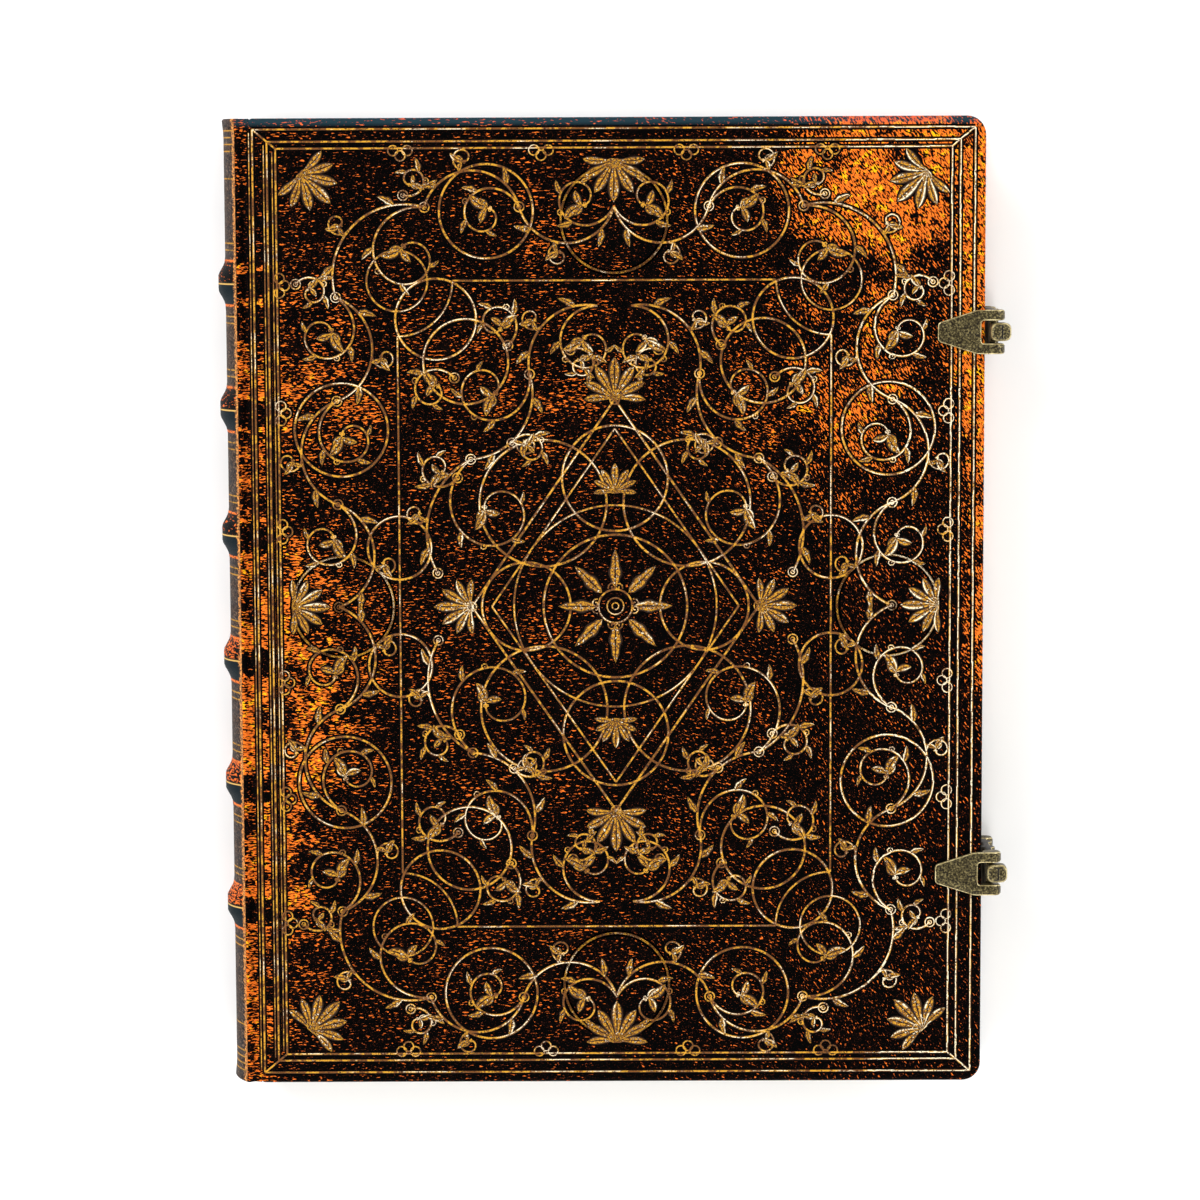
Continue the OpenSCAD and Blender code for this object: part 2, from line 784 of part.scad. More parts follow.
at_book() clasp_arm(clasp_y[0]);  // upper_clasp_arm
at_book() clasp_arm(clasp_y[1]);  // lower_clasp_arm
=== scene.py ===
import math
import random

import bmesh
import bpy
from mathutils import Matrix, Vector


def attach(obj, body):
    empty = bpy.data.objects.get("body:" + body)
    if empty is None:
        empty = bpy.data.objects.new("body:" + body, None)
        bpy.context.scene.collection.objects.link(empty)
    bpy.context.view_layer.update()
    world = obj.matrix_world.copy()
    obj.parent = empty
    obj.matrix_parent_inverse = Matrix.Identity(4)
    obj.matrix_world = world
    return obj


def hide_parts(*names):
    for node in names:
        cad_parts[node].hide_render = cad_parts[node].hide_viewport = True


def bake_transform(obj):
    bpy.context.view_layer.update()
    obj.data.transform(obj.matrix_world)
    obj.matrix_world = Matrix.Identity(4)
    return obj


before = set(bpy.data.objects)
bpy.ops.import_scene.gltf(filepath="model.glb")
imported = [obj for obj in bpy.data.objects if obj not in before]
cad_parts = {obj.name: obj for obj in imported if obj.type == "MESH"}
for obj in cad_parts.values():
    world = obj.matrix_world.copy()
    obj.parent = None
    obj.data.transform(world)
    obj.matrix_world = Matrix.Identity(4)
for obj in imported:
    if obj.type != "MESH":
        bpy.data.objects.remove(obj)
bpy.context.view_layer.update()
rng = random.Random(7)

# Sizes in millimetres, repeated from the part's source
MM = 0.001
COVER_H, COVER_W = 230.0, 176.0
BOARD_T, SKIN_T = 2.2, 0.5
COVER_T = BOARD_T + 2 * SKIN_T
CORNER_R, EDGE_R = 4.4, 1.0
TURN_IN = 14.0
JOINT_W, GROOVE, SHOULDER = 3.3, 1.5, 0.9
BLOCK_T, SQUARE = 14.6, 3.3
SPINE_BULGE, BAND_RISE, BAND_W = 3.4, 2.0, 11.0
INLAY_T, LINING_T, HOLLOW = 0.8, 0.3, 0.4
BAND_COUNT, BAND_PITCH, FIRST_BAND = 6, 29.8, 38.5
BEAD_R, HEADBAND_TAIL = 0.8, 9.0
CLASP_PITCH, CLASP_W, PLATE_T, PLATE_LEN, PLATE_NOSE = 129.0, 10.4, 1.2, 11.2, 4.4
SLOT_W, SLOT_BACK, KNUCKLE_R, KNUCKLE_GAP, PIN_R = 5.4, 1.0, 2.2, 0.3, 0.8
ARM_PLAY, ARM_T, ARM_SET, BEAD_ARM_R, BEAD_PITCH = 0.25, 1.6, 0.4, 1.75, 7.0
LIP_REACH, PLATE_CORNER = 6.1, 0.8
LINE_W, VINE_W = 0.55, 0.65
FRAME_INSET, FRAME_SPINE_INSET = 2.3, 0.7
SIDE_STEPS, END_STEPS = (0.0, 3.4, 5.4), (0.0, 2.9, 4.5)
CENTRE_R, VINE_INSET, VINE_RISE = 10.0, 14.0, 8.5
PANEL_U, PANEL_V, PANEL_R = 51.0, 77.0, 13.0

BOOK_T = 22.0
BACK_Z = PLATE_T
FRONT_Z = BACK_Z + BOOK_T
MID_Z = BACK_Z + BOOK_T / 2
HALF_CHORD = BOOK_T / 2 - SHOULDER
SPINE_R = (HALF_CHORD**2 + SPINE_BULGE**2) / (2 * SPINE_BULGE)
SPINE_X = SPINE_R - SPINE_BULGE
BAND_BULGE = SPINE_BULGE + BAND_RISE
BAND_R = (HALF_CHORD**2 + BAND_BULGE**2) / (2 * BAND_BULGE)
BAND_X = BAND_R - BAND_BULGE
INLAY_R = SPINE_R - SKIN_T - INLAY_T
LINING_R = INLAY_R - SKIN_T - HOLLOW
BLOCK_R = LINING_R - LINING_T
BLOCK_H = COVER_H - 2 * SQUARE
BLOCK_SHOULDER = SPINE_X - math.sqrt(BLOCK_R**2 - BLOCK_T**2 / 4)
LEAF_W = COVER_W - SQUARE - BLOCK_SHOULDER
KNUCKLE_X = COVER_W + KNUCKLE_GAP + KNUCKLE_R
ARM_X = KNUCKLE_X - ARM_SET
CENTRE_X = (COVER_W + LIP_REACH - BAND_BULGE) / 2
FIELD_X0 = JOINT_W + FRAME_SPINE_INSET + SIDE_STEPS[-1]
FIELD_X1 = COVER_W - FRAME_INSET - SIDE_STEPS[-1]
FIELD_U = (FIELD_X1 - FIELD_X0) / 2
FIELD_V = COVER_H / 2 - FRAME_INSET - END_STEPS[-1]
FIELD_X = (FIELD_X0 + FIELD_X1) / 2

# Sizes of the scene alone: fine lines, how far the dark channels stand out, and lifts that keep
# crossing strips apart
COMPANION_GAP, COMPANION_W = 0.8, 0.3
LINE_MARGIN, LEAF_MARGIN = 0.75, 0.6
LIFT = 0.003
COIL_TURN = math.radians(420)
HEAD_CAP_R, HEAD_CAP_REACH = 0.35, 2.4


def srgb(r, g, b):
    """Linear colour of an 8-bit display colour."""
    def channel(c):
        c /= 255
        return c / 12.92 if c <= 0.04045 else ((c + 0.055) / 1.055) ** 2.4
    return (channel(r), channel(g), channel(b), 1.0)


# Materials
class Net:
    """A material's node tree, built one node per call."""

    def __init__(self, name):
        self.mat = bpy.data.materials.new(name)
        self.mat.use_nodes = True
        self.tree = self.mat.node_tree
        self.tree.nodes.clear()
        self.out = self.tree.nodes.new("ShaderNodeOutputMaterial")

    def node(self, kind, settings=None, numbered=None, **named):
        """A node with its settings, and its inputs by number or by name; None sets nothing."""
        made = self.tree.nodes.new(kind)
        for key, value in (settings or {}).items():
            setattr(made, key, value)
        given = list((numbered or {}).items())
        given += [(key.replace("_", " "), value) for key, value in named.items()]
        for key, value in given:
            if isinstance(value, bpy.types.NodeSocket):
                self.tree.links.new(value, made.inputs[key])
            elif value is not None:
                made.inputs[key].default_value = value
        return made

    def rest(self):
        """Rest position in millimetres, which stays with the piece when it bends or moves."""
        return self.node("ShaderNodeAttribute", {"attribute_name": "rest"}).outputs["Vector"]

    def where(self):
        """Object position in millimetres, for CAD nodes."""
        place = self.node("ShaderNodeTexCoord").outputs["Object"]
        return self.vector("SCALE", place, scale=1000.0)

    def vector(self, operation, a, b=None, scale=None):
        made = self.node("ShaderNodeVectorMath", {"operation": operation}, {0: a, 1: b},
                         Scale=scale)
        return made.outputs["Value" if operation == "LENGTH" else "Vector"]

    def math(self, operation, a, b=None):
        return self.node("ShaderNodeMath", {"operation": operation}, {0: a, 1: b}).outputs["Value"]

    def times(self, a, b):
        return self.math("MULTIPLY", a, b)

    def plus(self, a, b):
        return self.math("ADD", a, b)

    def minus(self, a, b):
        return self.math("SUBTRACT", a, b)

    def noise(self, vector, scale, detail=3.0, rough=0.55, distort=0.0):
        return self.node("ShaderNodeTexNoise", Vector=vector, Scale=scale, Detail=detail,
                         Roughness=rough, Distortion=distort).outputs["Fac"]

    def step(self, value, low, high, to_low=0.0, to_high=1.0):
        """A smooth change from to_low, at low, to to_high, at high."""
        made = self.node("ShaderNodeMapRange", {"interpolation_type": "SMOOTHSTEP"}, Value=value,
                         From_Min=low, From_Max=high, To_Min=to_low, To_Max=to_high)
        return made.outputs["Result"]

    def mix(self, factor, a, b):
        """A colour between a and b."""
        return self.node("ShaderNodeMix", {"data_type": "RGBA"}, {0: factor, 6: a, 7: b}).outputs[2]

    def blend(self, factor, a, b):
        """A number between a and b."""
        return self.node("ShaderNodeMix", {"data_type": "FLOAT"}, {0: factor, 2: a, 3: b}).outputs[0]

    def split(self, vector):
        return self.node("ShaderNodeSeparateXYZ", Vector=vector).outputs

    def bump(self, height, strength, distance, normal=None):
        return self.node("ShaderNodeBump", Height=height, Strength=strength, Distance=distance,
                         Normal=normal).outputs["Normal"]

    def blob(self, place, x, y, rx, ry):
        """1 in the middle of a soft oval on the cover, 0 outside it."""
        off = self.vector("SUBTRACT", place, (x, y, 0.0))
        flat = self.vector("MULTIPLY", off, (1 / rx, 1 / ry, 0.0))
        return self.step(self.vector("LENGTH", flat), 1.0, 0.1)

    def surface(self, color, rough, metal=0.0, specular=0.5, normal=None):
        shader = self.node("ShaderNodeBsdfPrincipled", Base_Color=color, Roughness=rough,
                           Metallic=metal, Specular_IOR_Level=specular, Normal=normal)
        self.tree.links.new(shader.outputs[0], self.out.inputs[0])
        return self.mat


BLACK = srgb(2, 2, 2)
UMBER = srgb(20, 10, 7)
EMBER = srgb(84, 38, 22)
RUST = srgb(176, 78, 38)
ORANGE = srgb(232, 112, 34)
YELLOW = srgb(252, 182, 20)
BLUSH = srgb(206, 86, 62)
SHEEN_TEAL = srgb(30, 50, 58)
BAND_SHEEN_TEAL = srgb(13, 24, 29)
SPINE_DARK, SPINE_DUST = srgb(8, 6, 6), srgb(84, 64, 52)
SPINE_CLOUD, SPINE_SCRATCH = srgb(42, 48, 54), srgb(150, 122, 98)
SHOULDER_TAN, SHOULDER_LIGHT = srgb(126, 84, 56), srgb(226, 150, 74)
PALE_GOLD = srgb(255, 242, 206)
RICH_GOLD = srgb(204, 146, 40)
BROWN_GOLD = srgb(116, 70, 26)
SHADE_GOLD = srgb(34, 18, 8)
LINE_GOLD = srgb(206, 164, 92)

# Soft ovals of wear on a cover: x, y, half width, half height, strength
WORN = [(-86, -50, 24, 95, 1.0), (-72, -16, 28, 38, 0.65), (-78, 46, 34, 50, 0.45),
        (-16, 50, 66, 26, 0.2), (-30, -8, 32, 24, 0.1), (86, 106, 60, 24, 1.5),
        (64, 88, 38, 32, 0.5), (93, 44, 16, 100, 1.9), (56, 48, 40, 36, 0.45),
        (-14, 88, 14, 14, 0.3), (-84, 112, 14, 18, 0.4)]
CALM = [(84, -72, 50, 66, 0.08), (0, -112, 100, 16, 0.2), (10, 0, 26, 60, 0.15)]

# Marks that a raised band leaves on the cover beside it, a dark patch and painted highlights by the
# band's end:
# how far over the band's middle they reach, and the x at which they fade in and are full
BAND_DARK, BAND_DARK_X = (-3.6, 2.4), (-80.5, -82.0)
BAND_HIGHLIGHT, BAND_HIGHLIGHT_X = ((2.8, 4.4), (-5.0, -4.0)), (-76.0, -80.0)

# Gilt lines ruled across the spine: distances from a band's middle and from the spine's end
RULES_BY_BAND, RULES_BY_END, RULE_HALF = (7.8, 9.4), (2.8, 4.4, 6.0, 7.6, 14.0), 0.12


def wear(n, p):
    """How worn the leather is at a place: 0 dark, about 1 worn through."""
    heat = 0.27
    for x, y, rx, ry, power in WORN:
        heat = n.plus(heat, n.times(n.blob(p, x, y, rx, ry), power))
    for x, y, rx, ry, power in CALM:
        heat = n.minus(heat, n.times(n.blob(p, x, y, rx, ry), power))
    patches = n.step(n.noise(p, 0.11, 4.0, 0.62), 0.34, 0.66, 0.3, 1.65)
    return n.times(heat, patches)


def streaks(n, p, angle, along, across):
    """Fine noise drawn out along a direction; angle turns that direction onto x."""
    turned = n.node("ShaderNodeVectorRotate", {"rotation_type": "Z_AXIS"}, Vector=p,
                    Angle=angle).outputs[0]
    return n.noise(n.vector("MULTIPLY", turned, (along, across, 1.0)), 1.0, 1.6, 0.5, 0.5)


def grain(n, p, x):
    """The leather's pebbling: level streaks on the left that lean more and more to the right."""
    ragged = n.plus(x, n.times(n.noise(p, 0.06, 2.0), 40.0))
    level = streaks(n, p, 0.0, 0.85, 3.1)
    leaning = streaks(n, p, 0.35, 1.1, 3.0)
    steep = streaks(n, p, 0.95, 1.1, 2.9)
    mixed = n.blend(n.step(ragged, 22, 30), level, leaning)
    return n.blend(n.step(ragged, 58, 66), mixed, steep)


def band_offset(n, y):
    """Height above the middle of the nearest raised band."""
    first = COVER_H / 2 - FIRST_BAND
    index = n.math("ROUND", n.math("DIVIDE", n.minus(first, y), BAND_PITCH))
    index = n.math("MAXIMUM", n.math("MINIMUM", index, BAND_COUNT - 1), 0)
    return n.minus(y, n.minus(first, n.times(index, BAND_PITCH)))


def between(n, value, low, high, soft=0.4):
    """1 where low < value < high."""
    rise = n.step(value, low - soft, low + soft)
    return n.times(rise, n.step(value, high + soft, high - soft))


def cover_leather():
    """Near-black leather, worn through to orange between its pebbles, with a painted sheen along its
    head edge and painted highlights beside the bands.
    """
    n = Net("cover_leather")
    p = n.rest()
    x, y = n.split(p)[:2]
    heat = wear(n, p)
    hinge_side = n.step(x, *BAND_DARK_X)
    off = band_offset(n, y)
    rough_off = n.plus(off, n.step(n.noise(p, 0.7, 3.0), 0.3, 0.7, -0.7, 0.7))
    patch = n.times(between(n, rough_off, *BAND_DARK), hinge_side)
    # Painted highlights beside each band's end, drawn as more orange wear showing
    bright = n.plus(*[between(n, rough_off, *reach) for reach in BAND_HIGHLIGHT])
    bright = n.times(bright, n.step(x, *BAND_HIGHLIGHT_X))
    heat = n.plus(heat, n.times(bright, 1.1))
    heat = n.times(heat, n.minus(1.0, n.times(patch, 0.95)))
    fleck = grain(n, p, x)
    level = n.step(heat, 0.0, 1.5, 0.666, 0.478)
    over = n.minus(fleck, level)
    worn = n.step(over, -0.002, 0.018)
    deep = n.step(n.plus(over, n.times(heat, 0.05)), 0.01, 0.08)
    hot = n.times(n.step(n.noise(p, 0.55, 3.0, 0.7), 0.54, 0.64), n.step(heat, 0.5, 1.2))
    tone = n.mix(deep, RUST, n.mix(hot, ORANGE, YELLOW))
    # Painted sheen along the rounded head edge: a blue-grey reflection where the leather is dark,
    # pinkish where it is worn through
    head = n.step(y, COVER_H / 2 - 2.4, COVER_H / 2 - 0.8)
    tone = n.mix(n.times(head, 0.8), tone, BLUSH)
    dots = streaks(n, p, 0.3, 3.0, 4.6)
    base = n.mix(n.times(n.step(n.noise(p, 0.5, 4.0), 0.45, 0.75), heat), BLACK, UMBER)
    base = n.mix(n.step(dots, 0.655, 0.7, 0.0, 0.8), base, EMBER)
    base = n.mix(head, base, SHEEN_TEAL)
    color = n.mix(worn, base, tone)
    normal = n.bump(n.times(fleck, -1.0), 0.5, 0.00018)
    normal = n.bump(n.noise(p, 0.25, 4.0, 0.6), 0.3, 0.0006, normal)
    return n.surface(color, n.blend(worn, 0.5, 0.75), 0.0, 0.015, normal)


def spine_leather():
    """Dull ruled panels between dark bands, with a gilt line on each band; the bands carry a painted
    teal reflection on their lower slope and painted orange light on their upper slope.
    """
    n = Net("spine_leather")
    p = n.rest()
    y, z = n.split(p)[1:]
    high = n.math("ABSOLUTE", n.minus(z, MID_Z))
    off = band_offset(n, y)
    far_off = n.math("ABSOLUTE", off)
    dust = n.noise(p, 1.6, 4.0, 0.75)
    fleck = streaks(n, p, 0.0, 0.8, 2.2)
    color = n.mix(n.step(dust, 0.4, 0.64), SPINE_DARK, SPINE_DUST)
    cloud = n.step(n.noise(n.vector("MULTIPLY", p, (0.1, 0.5, 0.1)), 0.9, 3.0), 0.42, 0.6)
    color = n.mix(n.times(cloud, 0.3), color, SPINE_CLOUD)
    scratch = n.step(streaks(n, p, 0.5, 0.2, 2.4), 0.6, 0.66)
    color = n.mix(n.times(scratch, 0.4), color, SPINE_SCRATCH)
    ruled = n.step(n.noise(p, 0.8, 3.0), 0.36, 0.5, 0.2, 0.8)
    from_end = n.minus(COVER_H / 2, n.math("ABSOLUTE", y))
    for value, places in ((far_off, RULES_BY_BAND), (from_end, RULES_BY_END)):
        for rule in places:
            line = between(n, value, rule - RULE_HALF, rule + RULE_HALF, 0.15)
            color = n.mix(n.times(line, ruled), color, RICH_GOLD)
    # Painted reflection: each band is teal below its middle and black above
    on_band = n.step(far_off, 5.4, 4.8)
    color = n.mix(on_band, color, n.mix(n.step(off, -0.8, 0.4), BAND_SHEEN_TEAL, BLACK))
    # Painted light on each band's upper slope: orange flecks, more of them towards the tail
    hot = n.step(y, 20.0, -20.0, 0.62, 0.5)
    painted_band_light = n.step(n.minus(fleck, hot), 0.0, 0.03)
    painted_band_light = n.times(between(n, off, 0.4, 5.0), painted_band_light)
    color = n.mix(painted_band_light, color, n.mix(n.step(dust, 0.4, 0.6), RUST, ORANGE))
    color = n.mix(between(n, off, -0.32, -0.02, 0.12), color, LINE_GOLD)
    foot = n.times(between(n, far_off, 5.0, 5.5, 0.2), n.step(fleck, 0.4, 0.48))
    color = n.mix(foot, color, ORANGE)
    edge = n.plus(high, n.step(dust, 0.3, 0.7, -0.35, 0.35))
    shoulder = n.times(n.step(edge, HALF_CHORD - 0.95, HALF_CHORD - 0.6),
                       n.step(fleck, 0.4, 0.5, 0.35, 1.0))
    color = n.mix(shoulder, color,
                  n.mix(n.step(dust, 0.42, 0.6), SHOULDER_TAN, SHOULDER_LIGHT))
    normal = n.bump(dust, 0.4, 0.0002)
    return n.surface(color, 0.55, 0.0, 0.05, normal)


def pressed_leather_shade():
    """The smooth dark channel beside the gilt lines: pressed leather, darkened as painted shade of
    the groove.
    """
    n = Net("pressed_leather_shade")
    soft = n.noise(n.rest(), 0.6, 3.0)
    return n.surface(n.mix(n.step(soft, 0.45, 0.75), BLACK, UMBER), 0.4, 0.0, 0.02)


def gold(name, leafy):
    """Aged foil: a rich crest with a painted highlight on one flank, stronger towards the right,
    painted shade along its edges and down a leaf's middle, and rubbed in places.
    """
    n = Net(name)
    p = n.rest()
    x = n.split(p)[0]
    across = n.node("ShaderNodeAttribute", {"attribute_name": "across"}).outputs["Fac"]
    grit = n.noise(p, 2.2, 3.0, 0.75)
    drift = n.noise(p, 0.1, 3.0, 0.6)
    # Painted highlight: the pale flank shows more towards the right of the cover
    right = n.step(x, 40, 80, -0.05, 0.17)
    side = n.times(across, n.step(drift, 0.46, 0.54, -1.0, 1.0))
    flank = between(n, side, 0.42, 0.8, 0.12) if leafy else between(n, side, -0.05, 0.5, 0.15)
    painted_shine = n.step(n.plus(n.plus(drift, right), n.times(grit, 0.4)), 0.68, 0.8)
    mottle = n.noise(p, 1.5, 3.0, 0.7) if leafy else n.noise(p, 0.5, 3.0)
    tone = n.mix(n.step(mottle, 0.54, 0.44), BROWN_GOLD, RICH_GOLD)
    tone = n.mix(n.times(flank, painted_shine), tone, PALE_GOLD)
    edge = n.math("ABSOLUTE", across)
    if leafy:
        # Painted shade down a leaf's middle vein
        tone = n.mix(n.step(edge, 0.2, 0.08), tone, SHADE_GOLD)
        tone = n.mix(n.step(mottle, 0.6, 0.66), tone, PALE_GOLD)
    # Painted shade along both edges of each strip
    color = n.mix(n.step(edge, 0.84, 0.54), SHADE_GOLD, tone)
    color = n.mix(n.step(grit, 0.46, 0.39), color, srgb(40, 22, 10))
    normal = n.bump(grit, 0.6, 0.00015)
    return n.surface(color, 0.45, 0.0, 0.15, normal)


def antique_brass(name, rubbed):
    """Speckled olive brass; the rubbed kind is bright, for rubbed edges that also carry a painted
    highlight.
    """
    n = Net(name)
    p = n.rest()
    cloud = n.noise(p, 0.5, 4.0, 0.65)
    speck = n.noise(p, 2.1, 2.0, 0.8)
    if rubbed:
        color = n.mix(n.step(cloud, 0.35, 0.65), srgb(150, 132, 84), srgb(214, 198, 148))
        color = n.mix(n.step(speck, 0.56, 0.64), color, srgb(96, 80, 46))
        return n.surface(color, 0.3, 0.6, 0.5, n.bump(speck, 0.25, 0.00008))
    color = n.mix(n.step(cloud, 0.35, 0.7), srgb(74, 65, 38), srgb(98, 88, 54))
    color = n.mix(n.step(speck, 0.5, 0.57), color, srgb(34, 27, 16))
    color = n.mix(n.step(speck, 0.43, 0.38), color, srgb(146, 132, 88))
    return n.surface(color, n.step(cloud, 0.3, 0.7, 0.32, 0.45), 0.6, 0.5,
                     n.bump(speck, 0.5, 0.00015))


def paper(name, color, shade, lines=0.0):
    """Soft paper; lines is how dark the page edges' fine lines are, 0 for a sheet."""
    n = Net(name)
    p = n.where() if lines == 0.0 else n.rest()
    mottled = n.noise(p, 0.4, 4.0, 0.6)
    tone = n.mix(n.step(mottled, 0.3, 0.7), color, shade)
    fine = n.noise(n.vector("MULTIPLY", p, (0.05, 0.05, 9.0)), 1.0, 3.0, 0.6)
    if lines:
        tone = n.mix(n.step(fine, 0.5, 0.72, 0.0, lines), tone, srgb(150, 128, 92))
    normal = n.bump(fine if lines else mottled, 0.3, 0.00008)
    return n.surface(tone, 0.8, 0.0, 0.25, normal)


def plain(name, color, shade, rough, scale=1.0):
    """A dull material of two clouded tones."""
    n = Net(name)
    p = n.where()
    grain = n.noise(p, scale, 4.0, 0.6)
    tone = n.mix(n.step(grain, 0.3, 0.7), color, shade)
    return n.surface(tone, rough, 0.0, 0.3, n.bump(grain, 0.3, 0.0001))


COVER_LEATHER = cover_leather()
SPINE_LEATHER = spine_leather()
PRESSED_SHADE = pressed_leather_shade()
GOLD_LINES = gold("gold_lines", False)
GOLD_LEAVES = gold("gold_leaves", True)
BRASS = antique_brass("antique_brass", False)
RUBBED_HIGHLIGHT_BRASS = antique_brass("rubbed_highlight_brass", True)
# Near-black brass for painted shade in the knob's crease and in the slot
SHADE_BRASS = plain("painted_shade_brass", srgb(20, 18, 16), srgb(38, 33, 26), 0.45, 2.0)
PAGE_EDGE = paper("page_edge", srgb(238, 229, 206), srgb(222, 208, 178), 0.55)
ENDPAPER = paper("endpaper", srgb(132, 60, 26), srgb(96, 40, 18))
BOARD = plain("greyboard", srgb(150, 144, 134), srgb(128, 122, 112), 0.85)
GAUZE = plain("gauze", srgb(226, 222, 208), srgb(200, 194, 178), 0.9, 3.0)
THREAD_A = plain("thread_rust", srgb(158, 62, 26), srgb(120, 44, 20), 0.6, 4.0)
THREAD_B = plain("thread_cream", srgb(226, 208, 168), srgb(196, 172, 128), 0.6, 4.0)


# Meshes
def add(name, data):
    """A new object of the scene."""
    obj = bpy.data.objects.new(name, data)
    bpy.context.scene.collection.objects.link(obj)
    return obj


def piece(name, verts, faces, mats, face_mats=None, smooth=True):
    """A mesh object from millimetre points in the row frame, with its rest position kept."""
    mesh = bpy.data.meshes.new(name)
    mesh.from_pydata([tuple(c * MM for c in v) for v in verts], [], faces)
    for m in mats if isinstance(mats, (list, tuple)) else [mats]:
        mesh.materials.append(m)
    if face_mats:
        mesh.polygons.foreach_set("material_index", face_mats)
    mesh.polygons.foreach_set("use_smooth", [smooth] * len(mesh.polygons))
    obj = add(name, mesh)
    keep_rest(obj)
    return obj


def keep_rest(obj):
    mesh = obj.data
    if "rest" in mesh.attributes:
        mesh.attributes.remove(mesh.attributes["rest"])
    rest = mesh.attributes.new("rest", "FLOAT_VECTOR", "POINT")
    rest.data.foreach_set("vector", [c / MM for v in mesh.vertices for c in v.co])


def outward(obj):
    """Recalculates the faces to look outwards."""
    bm = bmesh.new()
    bm.from_mesh(obj.data)
    bmesh.ops.recalc_face_normals(bm, faces=bm.faces)
    bm.to_mesh(obj.data)
    bm.free()
    return obj


def loft(rings):
    """Points and faces through closed rings of equal length, with a cap on each end."""
    count = len(rings[0])
    verts = [v for ring in rings for v in ring]
    faces = []
    for i in range(len(rings) - 1):
        for j in range(count):
            k = (j + 1) % count
            faces.append((i * count + j, i * count + k, (i + 1) * count + k, (i + 1) * count + j))
    last = (len(rings) - 1) * count
    faces.append(tuple(reversed(range(count))))
    faces.append(tuple(range(last, last + count)))
    return verts, faces


def place(x, y, depth, side):
    """A point of a cover: x from the spine's shoulder, depth inwards from its outer face."""
    z = FRONT_Z - depth if side == "front" else BACK_Z + depth
    return (x - CENTRE_X, y, z)


def slab_outline(inset, steps=8):
    """The outline of a cover, inset all round."""
    x0, x1 = JOINT_W + inset, COVER_W - inset
    h = COVER_H / 2 - inset
    rf, rj = max(CORNER_R - inset, 0.05), max(EDGE_R - inset, 0.05)
    points = []
    for cx, cy, r, start in ((x1 - rf, h - rf, rf, 0), (x0 + rj, h - rj, rj, 90),
                             (x0 + rj, rj - h, rj, 180), (x1 - rf, rf - h, rf, 270)):
        for i in range(steps + 1):
            a = math.radians(start + 90 * i / steps)
            points.append((cx + r * math.cos(a), cy + r * math.sin(a)))
    return points


def make_cover(side):
    """The covering of a cover, with rounded edges and its turn-in round the inside."""
    turns = [math.radians(15 * i) for i in range(7)]
    section = [(6.0, 0.0), (2.2, 0.0)]
    section += [(EDGE_R * (1 - math.sin(a)), EDGE_R * (1 - math.cos(a))) for a in turns]
    section += [(EDGE_R * (1 - math.cos(a)), COVER_T - EDGE_R * (1 - math.sin(a))) for a in turns]
    section += [(3.0, COVER_T), (TURN_IN, COVER_T), (TURN_IN, COVER_T - SKIN_T)]
    rings = [[place(x, y, depth, side) for x, y in slab_outline(inset)]
             for inset, depth in section]
    verts, faces = loft(rings)
    cover = outward(piece(side + "_leather", verts, faces, COVER_LEATHER))
    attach(cover, side + "_cover")
    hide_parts(side + "_cover_skin")
    return cover


def spine_left(y, z):
    """How far left the spine's covering reaches at height z over the middle."""
    best = SPINE_X - math.sqrt(max(SPINE_R**2 - z * z, 0.01))
    for i in range(BAND_COUNT):
        off = y - (COVER_H / 2 - FIRST_BAND - i * BAND_PITCH)
        if abs(off) < BAND_W / 2 + 0.5:
            rise = 0.5 + 0.5 * math.cos(2 * math.pi * off / (BAND_W + 1))
            r = BAND_R - BAND_RISE + BAND_RISE * min(0.85, 1.1 * rise)
            if r > abs(z):
                band = BAND_X - math.sqrt(r * r - z * z)
                blend = 0.35
                near = max(blend - abs(best - band), 0) / blend
                best = min(best, band) - near * near * blend / 4
    end = (COVER_H / 2 - abs(y)) / HEAD_CAP_REACH
    return max(best - HEAD_CAP_R * math.exp(-end * end), -BAND_BULGE)


def make_spine():
    """The covering over the hollow spine, which swells over each raised band."""
    count, rows = 36, 300
    inner_height = 0.86
    y_steps = [COVER_H * (i / rows - 0.5) for i in range(rows + 1)]
    heights = [HALF_CHORD * math.sin(math.pi * (j / count - 0.5)) for j in range(count + 1)]

    def ring(y, outer_inset, inner):
        outer = [(spine_left(y, z) + outer_inset, z * (1 - 0.02 * outer_inset)) for z in heights]
        inside = [(SPINE_X - math.sqrt(inner**2 - (inner_height * z)**2), inner_height * z)
                  for z in reversed(heights)]
        return [(x - CENTRE_X, y, MID_Z + z) for x, z in outer + inside]

    half = COVER_H / 2
    fold = INLAY_R - SKIN_T
    ends = [(0.0, 0.5, fold + 0.3), (0.12, 0.18, fold + 0.06), (0.4, 0.0, fold)]
    rings = [ring(inset - half, outer_inset, inner) for inset, outer_inset, inner in ends]
    rings += [ring(y, 0.0, fold if abs(y) > half - TURN_IN else INLAY_R)
              for y in y_steps if abs(y) < half - 0.8]
    rings += [ring(half - inset, outer_inset, inner) for inset, outer_inset, inner in ends[::-1]]
    verts, faces = loft(rings)
    spine = outward(piece("spine_leather", verts, faces, SPINE_LEATHER))
    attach(spine, "text_block")
    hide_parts("spine_skin")


